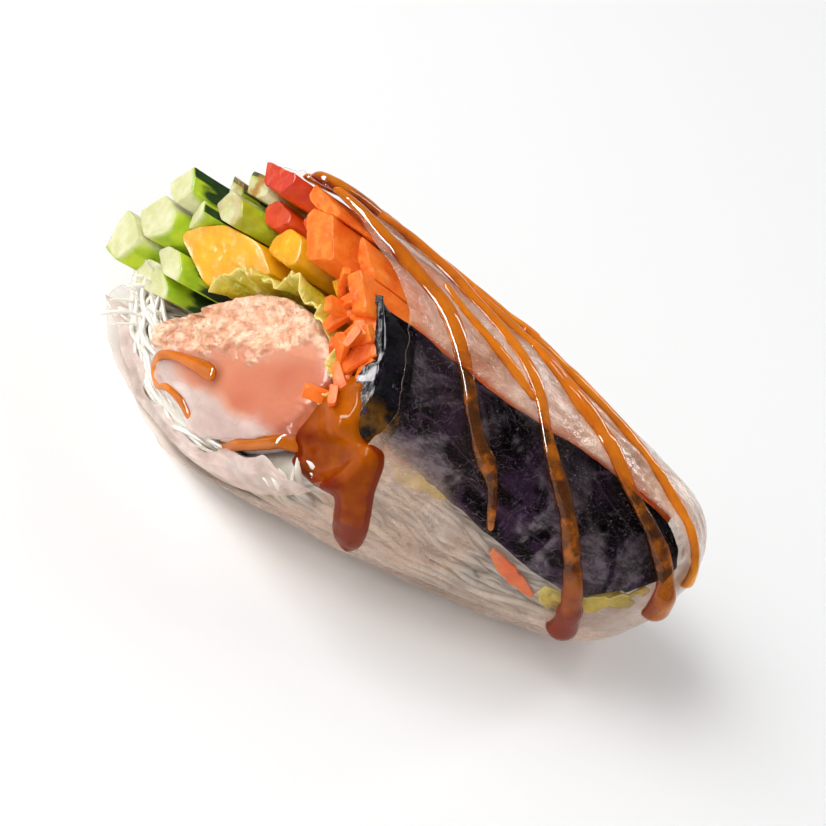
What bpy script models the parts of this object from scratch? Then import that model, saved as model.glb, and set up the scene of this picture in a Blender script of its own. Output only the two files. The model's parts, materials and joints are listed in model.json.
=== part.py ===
"""One half of a rice paper roll, cut across on the bias.

The roll lies along +Y with its cut at the -Y end and its folded end at +Y.
The dark leaf lies under the wrapper on the +X flank, and the noodles are
underneath.  Every filling is a prism that runs from the cut to the folded end.
Its section is laid out in (u, w), measured from the middle of the roll, and
place() narrows it along the roll.  All lengths are in metres.
"""

import math
import random

import bmesh
import bpy
from mathutils import Matrix, Vector

MM = 0.001

RADIUS = 23.0 * MM            # outside of the wrapper at its widest
DROP = 21.8 * MM              # middle of the roll above its flattened base
LENGTH = 76.0 * MM            # middle of the cut to the folded end
LEAD_IN = -40.0 * MM          # where every prism starts, ahead of the cut
MIDDLE_X = -0.5 * MM          # middle of the whole roll, which is the origin
MIDDLE_Y = 27.4 * MM

TAPER = 0.45                  # share of the width lost at the folded end
TAPER_START = -5.0 * MM
DOME_START = 63.0 * MM        # where the folded end rounds off
DOME_POWER = 2.6
SAG = 0.08                    # swelling of the lower flank
END_SLANT = 9.0 * MM          # the folded end is longest at its upper back edge
SLANT_START = 25.0 * MM
END_CLEARANCE = 2.6 * MM      # fillings round off this much before the wrapper
SIDE_CLEARANCE = 0.045        # and draw in by this share at the folded end

CUT_SLOPE_X = 0.80            # the cut runs back by this much across the roll
CUT_SLOPE_Z = 0.38            # and by this much up the roll
WRAP_SLOPE_Z = 0.47           # the wrapper has shrunk back a little more
WRAP_BACK = 2.0 * MM

FILM = 0.8 * MM               # wrapper thickness
GAP = 0.3 * MM                # air between neighbouring pieces
FILL_RADIUS = 21.5 * MM       # the fillings stay inside this radius
LEAF_INSIDE = 20.4 * MM       # and inside this one behind the dark leaf
LEAF_RADIUS = 21.25 * MM
LEAF_THICKNESS = 0.8 * MM
LETTUCE_THICKNESS = 0.8 * MM

STATIONS = [y * MM for y in (-14, 4, 20, 34, 46, 55, 62, 66, 69, 71.5)]

CUT_POINT = Vector((-MIDDLE_X, -MIDDLE_Y, DROP))
CUT_NORMAL = Vector((CUT_SLOPE_X, -1.0, CUT_SLOPE_Z)).normalized()
WRAP_POINT = CUT_POINT + Vector((0.0, WRAP_BACK, 0.0))
WRAP_NORMAL = Vector((CUT_SLOPE_X, -1.0, WRAP_SLOPE_Z)).normalized()

COLOURS = {
    "rice_paper": ((0.86, 0.83, 0.78), 0.22),
    "noodles": ((0.85, 0.84, 0.79), 0.35),
    "salmon": ((0.90, 0.50, 0.36), 0.35),
    "lettuce": ((0.55, 0.58, 0.10), 0.45),
    "dark_leaf": ((0.045, 0.025, 0.055), 0.40),
    "carrot": ((0.95, 0.30, 0.04), 0.40),
    "yellow_pepper": ((0.93, 0.60, 0.02), 0.25),
    "red_pepper": ((0.85, 0.10, 0.03), 0.25),
    "cucumber": ((0.62, 0.74, 0.32), 0.30),
}

# Salmon block and the lettuce draped over it, as section outlines in mm.
SALMON = [(-5.9, -11.1), (-3.8, -4.6), (-2.5, 2.3), (0.4, 7.1), (4.4, 9.6), (9.4, 9.8),
          (13.0, 7.5), (14.8, 1.9), (14.8, -4.6), (12.7, -11.3), (8.6, -15.3),
          (0.6, -15.9), (-4.0, -14.0)]
LETTUCE = [(-5.6, -1.9), (-4.4, 2.5), (-1.9, 8.2), (3.1, 11.3), (9.6, 11.7), (14.4, 9.2),
          (16.7, 3.8), (17.1, -1.5)]

# Convex outline of salmon and lettuce together: no stick comes inside it.
CORE = [(-6.7, -11.5), (-6.6, -2.7), (-5.4, 3.3), (-2.5, 9.4), (2.9, 12.7), (10.0, 13.1),
          (15.6, 10.1), (18.1, 3.8), (18.4, -1.7), (4.2, -12.5)]

# Inner edge of the noodle bed, from the dark-leaf side round to the cucumbers.
NOODLE_TOP = [(19.4, 3.3), (18.9, -1.3), (16.9, -4.0), (16.3, -6.5), (14.2, -11.9),
          (9.8, -16.3), (0.4, -17.0), (-4.8, -15.0), (-7.3, -11.1), (-9.2, -12.7),
          (-13.2, -13.9)]
NOODLE_RADIUS = 21.3 * MM
NOODLE_RADIUS_BEHIND_LEAF = 20.3 * MM

# kind, middle (u, w), width, height, turn in degrees, how far the end stands
# proud of the cut, and where the stick ends near the folded end.  All in mm.
STICKS = [
    ("cucumber", -16.7, -8.8, 5.9, 6.7, 20, 2.2, 61),
    ("cucumber", -11.5, -9.0, 6.7, 4.4, 38, 0.8, 64),
    ("cucumber", -10.7, -4.8, 5.6, 4.0, 35, 1.6, 60),
    ("cucumber", -16.1, -2.9, 6.7, 5.6, 10, 2.0, 65),
    ("cucumber", -18.2, 2.4, 4.4, 5.4, -8, 1.6, 58),
    ("cucumber", -13.6, 2.2, 4.8, 4.6, 15, 1.6, 63),
    ("cucumber", -16.6, 6.8, 4.0, 3.6, 30, -1.4, 61),
    ("cucumber", -12.8, 6.8, 4.6, 4.8, 5, 1.0, 66),
    ("cucumber", -14.6, 11.2, 6.2, 3.4, 38, -0.6, 59),
    ("yellow_pepper", -9.0, 1.5, 7.1, 10.4, -18, 0.4, 64),
    ("yellow_pepper", -5.9, 10.1, 6.5, 4.8, 30, -0.6, 62),
    ("yellow_pepper", 1.3, 14.0, 4.2, 2.5, 8, -1.6, 57),
    ("red_pepper", -11.7, 15.2, 8.4, 3.2, 38, 2.0, 62),
    ("red_pepper", -10.2, 10.9, 4.4, 4.2, 20, -0.6, 65),
    ("red_pepper", -8.0, 14.9, 3.4, 3.8, 12, -1.6, 60),
    ("carrot", -3.0, 16.3, 10.4, 4.4, -24, 0.8, 66),
    ("carrot", -6.2, 19.6, 5.4, 3.0, 18, 0.6, 61),
    ("carrot", 1.4, 19.8, 5.6, 3.4, -6, -0.8, 64),
    ("carrot", 6.9, 18.4, 5.9, 4.2, -18, 0.8, 62),
    ("carrot", 5.6, 14.9, 5.0, 3.1, 8, -0.8, 65),
    ("carrot", 11.3, 15.9, 5.0, 4.2, -36, -0.6, 59),
    ("carrot", 10.0, 14.0, 4.8, 2.5, -6, -1.6, 63),
    ("carrot", 14.8, 12.5, 5.0, 4.6, -44, 0.4, 60),
    ("carrot", 17.3, 9.0, 4.4, 4.2, -58, -0.4, 64),
    ("carrot", 18.8, 5.2, 3.6, 4.0, -70, 0.6, 58),
]


def taper(y):
    """Share of the full width left at y."""
    t = min(max((y - TAPER_START) / (LENGTH - TAPER_START), 0.0), 1.0)
    return 1.0 - TAPER * t ** 1.8


def dome(y):
    """Extra narrowing about the roll's middle, down to nothing at LENGTH."""
    q = min(max((y - DOME_START) / (LENGTH - DOME_START), 0.0), 1.0)
    return (1.0 - q ** DOME_POWER) ** (1.0 / DOME_POWER)


def place(u, w, y, clearance=True):
    """World position of section point (u, w) at y; the base stays at z = 0.

    The wrapper keeps its thickness where the roll narrows, so the fillings
    draw in a little more than it does.
    """
    s = taper(y)
    d = dome(y)
    if clearance:
        d = dome(y + END_CLEARANCE) * (1.0 - SIDE_CLEARANCE * (1.0 - s) / TAPER)
    x = u * s * d
    rise = w * s * d
    ramp = min(max((y - SLANT_START) / (LENGTH - SLANT_START), 0.0), 1.0)
    slant = END_SLANT * ramp * (0.82 * rise - 0.57 * x) / RADIUS
    return Vector((x - MIDDLE_X, y + slant - MIDDLE_Y, DROP * s + rise))


def bulge(angle, y):
    """How much the soft lower flank swells where the roll sags."""
    around = (math.degrees(angle) + 48) / 38
    along = (y - 44 * MM) / (24 * MM)
    return 1.0 + SAG * math.exp(-around * around - along * along)


def polar(radius, degrees):
    a = math.radians(degrees)
    return radius * math.cos(a), radius * math.sin(a)


def blend(table, y):
    """Value at y of a table of (y in mm, value), eased between its rows."""
    y = y / MM
    if y <= table[0][0]:
        return table[0][1]
    for (y0, a), (y1, b) in zip(table, table[1:]):
        if y <= y1:
            t = (y - y0) / (y1 - y0)
            return a + (b - a) * t * t * (3 - 2 * t)
    return table[-1][1]


def add_object(name, bm, collection, smooth):
    """Turn a bmesh into a named object with its own Principled material."""
    bmesh.ops.recalc_face_normals(bm, faces=bm.faces[:])
    for face in bm.faces:
        face.smooth = smooth
    mesh = bpy.data.meshes.new(name)
    bm.to_mesh(mesh)
    bm.free()
    if smooth:
        mesh.set_sharp_from_angle(angle=math.radians(50))
    obj = bpy.data.objects.new(name, mesh)
    collection.objects.link(obj)
    kind = name.rstrip("0123456789").rstrip("_")
    colour, roughness = COLOURS[kind]
    material = bpy.data.materials.new(name)
    material.use_nodes = True
    shader = material.node_tree.nodes["Principled BSDF"]
    shader.inputs["Base Color"].default_value = (*colour, 1.0)
    shader.inputs["Roughness"].default_value = roughness
    shader.inputs["Metallic"].default_value = 0.0
    mesh.materials.append(material)
    return obj


def solidify(obj, thickness, offset):
    shell = obj.modifiers.new("thickness", "SOLIDIFY")
    shell.thickness = thickness
    shell.offset = offset
    shell.use_even_offset = True


def trim(bm, point, normal, close):
    """Cut away everything ahead of a plane, and close the cut if asked."""
    geometry = bm.verts[:] + bm.edges[:] + bm.faces[:]
    bmesh.ops.bisect_plane(bm, geom=geometry, dist=1e-7, plane_co=point,
                           plane_no=normal, clear_outer=True)
    if close:
        bmesh.ops.holes_fill(bm, edges=[e for e in bm.edges if e.is_boundary])


def prism(outline, end, proud, lean, wobble=None):
    """Extrude a section outline along the roll and cut its front end."""
    bm = bmesh.new()
    section = bm.verts.layers.float_vector.new("section")
    ring = []
    for u, w in outline:
        vert = bm.verts.new(place(u, w, LEAD_IN))
        vert[section] = (u, w, 0.0)
        ring.append(vert)
    face = bm.faces.new(ring)
    for y in [s for s in STATIONS if s < end - 2 * MM] + [end]:
        behind = face
        grown = bmesh.ops.extrude_face_region(bm, geom=[face])["geom"]
        face = next(g for g in grown if isinstance(g, bmesh.types.BMFace))
        if behind.is_valid:
            bmesh.ops.delete(bm, geom=[behind], context="FACES_ONLY")
        for vert in face.verts:
            u, w, _ = vert[section]
            if wobble:
                u, w = wobble(u, w, y)
            vert.co = place(u, w, y)
    normal = Matrix.Rotation(lean[0], 3, "X") @ Matrix.Rotation(lean[1], 3, "Z") @ CUT_NORMAL
    middle = place(sum(u for u, _ in outline) / len(outline),
                   sum(w for _, w in outline) / len(outline), 0.0)
    depth = (middle - CUT_POINT).dot(CUT_NORMAL) / CUT_NORMAL.y
    on_cut = Vector((middle.x, middle.y - depth, middle.z))
    trim(bm, on_cut + CUT_NORMAL * proud, normal, close=True)
    return bm


def clip(polygon, point, normal):
    """Keep the part of a convex polygon that lies behind a line."""
    kept = []
    for i, a in enumerate(polygon):
        b = polygon[(i + 1) % len(polygon)]
        da = (a - point).dot(normal)
        db = (b - point).dot(normal)
        if da <= 0:
            kept.append(a)
        if (da < 0 < db) or (db < 0 < da):
            kept.append(a.lerp(b, da / (da - db)))
    return kept


def stick_outline(index):
    """A turned rectangle, cut back from its neighbours, wrapper and core."""
    _, u, w, width, height, turn, _, _ = STICKS[index]
    centre = Vector((u, w)) * MM
    spin = Matrix.Rotation(math.radians(turn), 2)
    corners = [(-1, -1), (1, -1), (1, 1), (-1, 1)]
    shape = [centre + spin @ Vector((x * width, y * height)) * (MM / 2) for x, y in corners]
    size = (width + height) / 4 * MM
    for other, row in enumerate(STICKS):
        if other == index:
            continue
        away = Vector(row[1:3]) * MM - centre
        far = away.length
        their = (row[3] + row[4]) / 4 * MM
        share = (far * far + size * size - their * their) / (2 * far)
        normal = away.normalized()
        shape = clip(shape, centre + normal * (share - GAP / 2), normal)
    for degrees in range(0, 360, 10):
        behind_leaf = degrees < 85 or degrees > 350
        limit = (LEAF_INSIDE if behind_leaf else FILL_RADIUS) * math.cos(math.radians(5))
        normal = Vector(polar(1.0, degrees))
        shape = clip(shape, normal * limit, normal)
    core = [Vector(p) * MM for p in CORE]
    best = None
    for a, b in zip(core, core[1:] + core[:1]):
        along = (b - a).normalized()
        outward = Vector((-along.y, along.x))
        distance = (centre - a).dot(outward)
        if best is None or distance > best[0]:
            best = (distance, a, outward)
    shape = clip(shape, best[1] + best[2] * GAP, -best[2])
    bed = [Vector(p) * MM for p in NOODLE_TOP[-3:]]
    for a, b in zip(bed, bed[1:]):
        along = (b - a).normalized()
        below = Vector((along.y, -along.x))
        if below.y > 0:
            below = -below
        if centre.x < 0:
            shape = clip(shape, a - below * GAP, below)
    return [(p.x, p.y) for p in shape]


def make_sticks(collection):
    rng = random.Random(5)
    count = {}
    for index, row in enumerate(STICKS):
        kind = row[0]
        count[kind] = count.get(kind, 0) + 1
        lean = (math.radians(rng.uniform(-9, 9)), math.radians(rng.uniform(-14, 14)))
        bm = prism(stick_outline(index), row[7] * MM, row[6] * MM, lean)
        add_object("%s_%d" % (kind, count[kind]), bm, collection, smooth=False)


def make_salmon(collection):
    outline = [(u * MM, w * MM) for u, w in SALMON]
    bm = prism(outline, 66 * MM, 1.0 * MM, (0.0, 0.0))
    add_object("salmon", bm, collection, smooth=True)


def make_noodles(collection):
    """A bed of fine noodles as one solid, with an uneven outer face."""
    outline = []
    for degrees in range(-136, 10, 5):
        hidden = min(max((degrees + 28) / 8.0, 0.0), 1.0)
        radius = NOODLE_RADIUS + (NOODLE_RADIUS_BEHIND_LEAF - NOODLE_RADIUS) * hidden
        radius -= 0.35 * MM * (0.5 + 0.5 * math.sin(degrees * 1.9))
        u, w = polar(radius, degrees)
        outline.append((u, max(w, 1.3 * MM - DROP)))
    outline += [(u * MM, w * MM) for u, w in NOODLE_TOP]

    def wobble(u, w, y):
        angle = math.atan2(w, u)
        swell = bulge(angle, y) * (0.994 + 0.006 * math.sin(y * 260.0 + angle * 7.0))
        outer = math.hypot(u, w) > 19.8 * MM
        return (u * swell, w * swell) if outer and w > 1.5 * MM - DROP else (u, w)

    bm = prism(outline, 64 * MM, 0.4 * MM, (0.0, 0.0), wobble)
    add_object("noodles", bm, collection, smooth=True)


def make_sheet(name, collection, across, along, shape, proud, thickness):
    """A thin leaf: a grid laid out by shape(a, b), both from 0 to 1."""
    bm = bmesh.new()
    bmesh.ops.create_grid(bm, x_segments=across, y_segments=along, size=0.5)
    for vert in bm.verts:
        vert.co = shape(vert.co.x + 0.5, vert.co.y + 0.5)
    trim(bm, CUT_POINT + CUT_NORMAL * proud, CUT_NORMAL, close=False)
    obj = add_object(name, bm, collection, smooth=True)
    solidify(obj, thickness, 0.0)


def make_lettuce(collection):
    spine = [Vector(p) * MM for p in LETTUCE]

    def draped(a, b):
        y = -14 * MM + b * 79 * MM
        reach = a * (len(spine) - 1)
        i = min(int(reach), len(spine) - 2)
        point = spine[i].lerp(spine[i + 1], reach - i)
        normal = (spine[i + 1] - spine[i]).orthogonal().normalized()
        point = point + normal * (0.30 * MM * math.sin(a * 24.0 + y * 160.0))
        return place(point.x, point.y, y)

    make_sheet("lettuce_1", collection, 24, 12, draped, 1.4 * MM, LETTUCE_THICKNESS)


LEAF_TOP = [(10, 68), (28, 65), (38, 64), (52, 70), (62, 74), (68, 70), (71, 62)]
LEAF_BOTTOM = [(14, 25), (30, 17), (44, 8), (52, 2), (61, 3), (66, 17), (69.5, 36), (71, 46)]


def make_dark_leaf(collection):
    def band(a, b):
        y = 4 * MM + (1 - (1 - b) ** 1.7) * 67 * MM
        low = blend(LEAF_BOTTOM, y)
        high = blend(LEAF_TOP, y)
        u, w = polar(LEAF_RADIUS, low + (high - low) * a)
        return place(u, w, y)

    make_sheet("dark_leaf", collection, 8, 15, band, 1.8 * MM, LEAF_THICKNESS)


def make_far_lettuce(collection):
    """Pale lettuce below the dark leaf, by the folded end."""
    def patch(a, b):
        y = 57 * MM + b * 12.5 * MM
        high = blend(LEAF_BOTTOM, y) - 5
        low = high - 8 - 10 * math.sin(b * math.pi)
        u, w = polar(LEAF_RADIUS, low + (high - low) * a)
        return place(u, w, y)

    make_sheet("lettuce_2", collection, 4, 6, patch, 0.0, LETTUCE_THICKNESS)


def make_carrot_sliver(collection):
    """A thin shaving of carrot between the noodles and the wrapper."""
    def shaving(a, b):
        y = 46 * MM + b * 11 * MM
        middle = 1 - 15 * b
        half = 4.4 * math.sin(math.pi * (0.12 + 0.80 * b))
        u, w = polar(LEAF_RADIUS, middle - half + 2 * half * a)
        return place(u, w, y)

    make_sheet("carrot_11", collection, 3, 5, shaving, 0.0, LEAF_THICKNESS)


def make_wrapper(collection):
    """The wrapper: an open skin round the fillings, closed at the folded end."""
    bm = bmesh.new()
    turns = 40
    section = bm.verts.layers.float_vector.new("section")
    bmesh.ops.create_circle(bm, segments=turns, radius=RADIUS)
    for vert in bm.verts:
        vert[section] = vert.co.copy()
    edges = bm.edges[:]

    def lay(vert, y):
        u, v, _ = vert[section]
        angle = math.atan2(v, u)
        lobes = math.sin(3 * angle + 0.8 + y * 26) + 0.7 * math.sin(5 * angle - 1.2 + y * 40)
        swell = bulge(angle, y) * (1.0 + 0.009 * (1.7 + lobes) / 1.7)
        vert.co = place(u * swell, max(v * swell, -DROP), y, clearance=False)

    for vert in bm.verts:
        lay(vert, LEAD_IN)
    for y in STATIONS + [73.5 * MM, 75.2 * MM]:
        grown = bmesh.ops.extrude_edge_only(bm, edges=edges)["geom"]
        edges = [g for g in grown if isinstance(g, bmesh.types.BMEdge)]
        for vert in [g for g in grown if isinstance(g, bmesh.types.BMVert)]:
            lay(vert, y)
    bmesh.ops.holes_fill(bm, edges=edges)
    trim(bm, WRAP_POINT, WRAP_NORMAL, close=False)
    obj = add_object("rice_paper", bm, collection, smooth=True)
    solidify(obj, FILM, -1.0)


def main():
    for obj in list(bpy.data.objects):
        bpy.data.objects.remove(obj)
    collection = bpy.data.collections.new("rice_paper_roll")
    bpy.context.scene.collection.children.link(collection)
    make_wrapper(collection)
    make_noodles(collection)
    make_salmon(collection)
    make_lettuce(collection)
    make_far_lettuce(collection)
    make_dark_leaf(collection)
    make_sticks(collection)
    make_carrot_sliver(collection)


main()
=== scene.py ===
"""How the halved rice paper roll looks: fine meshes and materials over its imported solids.

The roll lies along +Y with its bias cut towards -Y.  Sections are in (u, w) from the middle of
the roll, and place() narrows them along it, as it does for the solids.  Lengths are in metres,
angles round the roll are in degrees from +X (the dark leaf's flank) towards +Z unless a comment
says otherwise, and a t runs from 0 at the cut to 1 at the folded end.
"""

import json
import math

import bmesh
import bpy
import numpy as np
from mathutils import Matrix, Vector
from mathutils.bvhtree import BVHTree

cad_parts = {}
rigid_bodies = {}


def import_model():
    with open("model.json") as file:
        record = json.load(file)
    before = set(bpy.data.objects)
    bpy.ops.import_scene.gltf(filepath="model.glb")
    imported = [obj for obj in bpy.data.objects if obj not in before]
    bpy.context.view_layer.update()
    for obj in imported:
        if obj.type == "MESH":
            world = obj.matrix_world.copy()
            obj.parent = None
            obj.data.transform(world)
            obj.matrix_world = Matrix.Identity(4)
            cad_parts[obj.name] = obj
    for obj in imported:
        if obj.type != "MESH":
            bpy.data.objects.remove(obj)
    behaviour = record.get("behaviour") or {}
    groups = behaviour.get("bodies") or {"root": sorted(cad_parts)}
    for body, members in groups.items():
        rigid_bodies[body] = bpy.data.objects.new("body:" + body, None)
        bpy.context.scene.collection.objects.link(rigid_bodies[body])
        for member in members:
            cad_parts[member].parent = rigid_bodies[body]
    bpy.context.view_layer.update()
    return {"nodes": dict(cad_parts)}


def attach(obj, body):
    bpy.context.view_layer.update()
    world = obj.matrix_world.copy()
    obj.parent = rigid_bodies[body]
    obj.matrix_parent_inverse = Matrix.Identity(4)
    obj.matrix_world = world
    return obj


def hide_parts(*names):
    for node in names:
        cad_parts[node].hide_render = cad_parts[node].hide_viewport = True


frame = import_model()
NODES = frame["nodes"]

MM = 0.001

# The roll's own sizes, as its solids have them.
RADIUS = 23.0 * MM            # outside of the wrapper at its widest
DROP = 21.8 * MM              # middle of the roll above its flattened base
LENGTH = 76.0 * MM            # middle of the cut to the folded end
MIDDLE_X = -0.5 * MM          # middle of the whole roll, which is the origin
MIDDLE_Y = 27.4 * MM
TAPER = 0.45                  # share of the width lost at the folded end
TAPER_START = -5.0 * MM
DOME_START = 63.0 * MM        # where the folded end rounds off
DOME_POWER = 2.6
SAG = 0.08                    # swelling of the lower flank
END_SLANT = 9.0 * MM          # the folded end is longest at its upper back edge
SLANT_START = 25.0 * MM
END_CLEARANCE = 2.6 * MM      # fillings round off this much before the wrapper
SIDE_CLEARANCE = 0.045        # and draw in by this share at the folded end
CUT_SLOPE_X = 0.80            # the cut runs back by this much across the roll
CUT_SLOPE_Z = 0.38            # and by this much up the roll
WRAP_SLOPE_Z = 0.47           # the wrapper has shrunk back a little more
WRAP_BACK = 2.0 * MM
CUT_POINT = np.array([-MIDDLE_X, -MIDDLE_Y, DROP])
WRAP_POINT = CUT_POINT + np.array([0.0, WRAP_BACK, 0.0])

# Sizes of the looks.
SECTION_Y = 24.0 * MM         # every prism has its full section here
FILM_RADIUS = 22.5 * MM       # the wrapper's visible skin, before it is made uneven
FILM_END = 75.6 * MM          # where the skin closes
FLOOR_GAP = 0.15 * MM         # the skin stays this far above the floor
SHARP_ANGLE = math.radians(38)
RAY_START = 30 * MM           # rays on to the pieces start this far outside
RAY_REACH = 80 * MM


# ---- geometry of the roll

def across_normal(slope_x, slope_z):
    """The outward normal of a plane that cuts across the roll."""
    return np.array([slope_x, -1.0, slope_z]) / math.sqrt(slope_x**2 + 1 + slope_z**2)


CUT_NORMAL = across_normal(CUT_SLOPE_X, CUT_SLOPE_Z)
WRAP_NORMAL = across_normal(CUT_SLOPE_X, WRAP_SLOPE_Z)


def taper(y):
    """Share of the full width left at y."""
    t = np.clip((y - TAPER_START) / (LENGTH - TAPER_START), 0.0, 1.0)
    return 1.0 - TAPER * t**1.8


def dome(y):
    """Extra narrowing about the roll's middle, down to nothing at LENGTH."""
    q = np.clip((y - DOME_START) / (LENGTH - DOME_START), 0.0, 1.0)
    return (1.0 - q**DOME_POWER) ** (1.0 / DOME_POWER)


def drawn_in(y, s):
    """The same for the fillings, which keep clear of the wrapper, where taper leaves s."""
    return dome(y + END_CLEARANCE) * (1.0 - SIDE_CLEARANCE * (1.0 - s) / TAPER)


def slant(x, rise, y):
    """How much further along the roll a point lies, since the folded end is slanted."""
    ramp = np.clip((y - SLANT_START) / (LENGTH - SLANT_START), 0.0, 1.0)
    return END_SLANT * ramp * (0.82 * rise - 0.57 * x) / RADIUS


def place(u, w, y, clearance=True):
    """World points of section points (u, w) at y, as an array."""
    u, w, y = np.broadcast_arrays(u, w, y)
    s = taper(y)
    d = drawn_in(y, s) if clearance else dome(y)
    x, rise = u * s * d, w * s * d
    return np.stack([x - MIDDLE_X, y + slant(x, rise, y) - MIDDLE_Y, DROP * s + rise], -1)


def unplace(points):
    """Section coordinates (u, w, y) of world points inside the wrapper."""
    x = points[:, 0] + MIDDLE_X
    y = points[:, 1] + MIDDLE_Y
    for _ in range(12):
        s = taper(y)
        rise = points[:, 2] - DROP * s
        y = points[:, 1] + MIDDLE_Y - slant(x, rise, y)
    d = drawn_in(y, s)
    return x / (s * d), (points[:, 2] - DROP * s) / (s * d), y


def on_plane(u, w, point, normal, clearance=True):
    """The y at which the line through (u, w) along the roll meets a plane."""
    y = np.zeros(np.broadcast(u, w).shape)
    for _ in range(6):
        y = y - ((place(u, w, y, clearance) - point) @ normal) / normal[1]
    return y


def on_cut(u, w, proud=0.0):
    """The y at which the line through (u, w) meets the cut, or a plane that far in front of it."""
    return on_plane(u, w, CUT_POINT + CUT_NORMAL * proud, CUT_NORMAL)


def polar(r, angle):
    """Section coordinates at a radius and an angle in radians."""
    return r * np.cos(angle), r * np.sin(angle)


def above_floor(w, gap=FLOOR_GAP):
    """Section heights kept at least a gap above the floor."""
    return np.maximum(w, gap - DROP)


def upward(u, w):
    """Height on the leaning cut, as the eye takes it, of section points."""
    return 0.517 * w - 0.925 * u


def bulge(angle, y):
    """How much the soft lower flank swells where the roll sags; the angle is in radians."""
    around = (np.degrees(angle) + 48) / 38
    along = (y - 44 * MM) / (24 * MM)
    return 1.0 + SAG * np.exp(-around * around - along * along)


# ---- noise and mesh helpers

def value_noise(points, seed=0):
    """Smooth noise from -1 to 1 at an array of points."""
    points = np.asarray(points, float)
    cell = np.floor(points).astype(np.int64)
    f = points - cell
    f = f * f * (3 - 2 * f)
    total = 0.0
    for corner in range(8):
        step = np.array([corner & 1, corner >> 1 & 1, corner >> 2 & 1])
        c = cell + step
        h = c[..., 0] * 73856093 ^ c[..., 1] * 19349663 ^ c[..., 2] * 83492791 ^ seed * 2654435
        h = (h ^ (h >> 13)) * 1274126177 & 0x7FFFFFFF
        h = (h ^ (h >> 11)) * 668265263 & 0x7FFFFFFF
        share = np.prod(np.where(step, f, 1 - f), axis=-1)
        total = total + share * (h / 0x3FFFFFFF - 1.0)
    return total


def fbm(points, octaves=3, seed=0):
    """Sum of octaves of the noise, each twice as fine and half as strong."""
    points = np.asarray(points, float)
    return sum(value_noise(points * 2**k, seed + 7 * k) * 0.5**k for k in range(octaves))


def triple(x, y=0.0, z=0.0):
    """Points for the noise from their coordinates."""
    return np.stack(np.broadcast_arrays(x, y, z), -1)


def smooth(low, high, x):
    """A soft step from 0 at low to 1 at high; it falls where high is below low."""
    t = np.clip((x - low) / (high - low), 0.0, 1.0)
    return t * t * (3 - 2 * t)


def unit(vectors, tiny=0.0):
    """Rows of vectors made one long."""
    return vectors / (np.linalg.norm(vectors, axis=-1, keepdims=True) + tiny)


def round_end(share):
    """Height of a rounded edge at a share of its width, from 0 to 1."""
    return np.sqrt(np.clip(1 - (1 - np.clip(share, 0, 1)) ** 2, 0, 1))


def grid(rows, cols):
    """Shares from 0 to 1 down the rows and along the columns."""
    return np.linspace(0, 1, rows)[:, None], np.linspace(0, 1, cols)[None, :]


def lattice(rows, cols, wrap=False):
    """Quads of a grid of rows by cols points, closed across the columns if wrap."""
    r = np.arange(rows - 1)[:, None]
    c = np.arange(cols if wrap else cols - 1)[None, :]
    n = (c + 1) % cols
    quads = np.stack(np.broadcast_arrays(r * cols + c, r * cols + n,
                                         (r + 1) * cols + n, (r + 1) * cols + c), -1)
    return quads.reshape(-1, 4)


def closed_faces(rows, sides, start=0):
    """Faces of a tube of rings with both ends capped, from point number start."""
    last = start + (rows - 1) * sides
    faces = (lattice(rows, sides, wrap=True) + start).tolist()
    return faces + [list(range(start, start + sides)), list(range(last, last + sides))]


def reach_along(path):
    """How far along a line each of its points lies."""
    return np.concatenate([[0], np.cumsum(np.linalg.norm(np.diff(path, axis=0), axis=1))])


def read_off(at, reach, table):
    """The columns of a table read at other reaches."""
    return np.stack([np.interp(at, reach, column) for column in table.T], -1)


def link(name, data):
    """A new object in the scene."""
    obj = bpy.data.objects.new(name, data)
    bpy.context.scene.collection.objects.link(obj)
    return obj


def make_mesh(name, points, faces, slot, values=None, paint=None):
    """A shown piece from points and faces, with per-point values for its material."""
    mesh = bpy.data.meshes.new(name)
    mesh.from_pydata([tuple(p) for p in points], [], [tuple(f) for f in faces])
    for key, value in (values or {}).items():
        attribute = mesh.attributes.new(key, "FLOAT", "POINT")
        attribute.data.foreach_set("value", np.asarray(value, np.float32))
    mesh.materials.append(PAINTS[paint or slot])
    bm = bmesh.new()
    bm.from_mesh(mesh)
    bmesh.ops.recalc_face_normals(bm, faces=bm.faces[:])
    bm.to_mesh(mesh)
    bm.free()
    mesh.shade_smooth()
    obj = link(name, mesh)
    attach(obj, "root")
    return obj


def make_sheet(name, points, thickness, slot, values, paint=None):
    """A leaf of real thickness from a grid of world points; its values are grids or numbers."""
    rows, cols = points.shape[:2]
    values = {key: np.broadcast_to(value, (rows, cols)).ravel() for key, value in values.items()}
    obj = make_mesh(name, points.reshape(-1, 3), lattice(rows, cols), slot, values, paint)
    shell = obj.modifiers.new("thickness", "SOLIDIFY")
    shell.thickness = thickness
    shell.offset = 0.0
    return obj


def tubes(paths, radii, sides):
    """Points and faces of many round strands; radii gives one row of radii a path."""
    points, faces, start = [], [], 0
    for path, radius in zip(paths, radii):
        radius = np.broadcast_to(radius, len(path))
        tangent = unit(np.gradient(path, axis=0), 1e-12)
        side = unit(np.cross(tangent, [0.31, 0.12, 0.94]), 1e-12)
        up = np.cross(side, tangent)
        a = np.linspace(0, 2 * math.pi, sides, endpoint=False)[None, :, None]
        round_it = np.cos(a) * side[:, None] + np.sin(a) * up[:, None]
        points.append((path[:, None] + round_it * radius[:, None, None]).reshape(-1, 3))
        faces += closed_faces(len(path), sides, start)
        start += len(path) * sides
    return np.concatenate(points), faces


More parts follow.
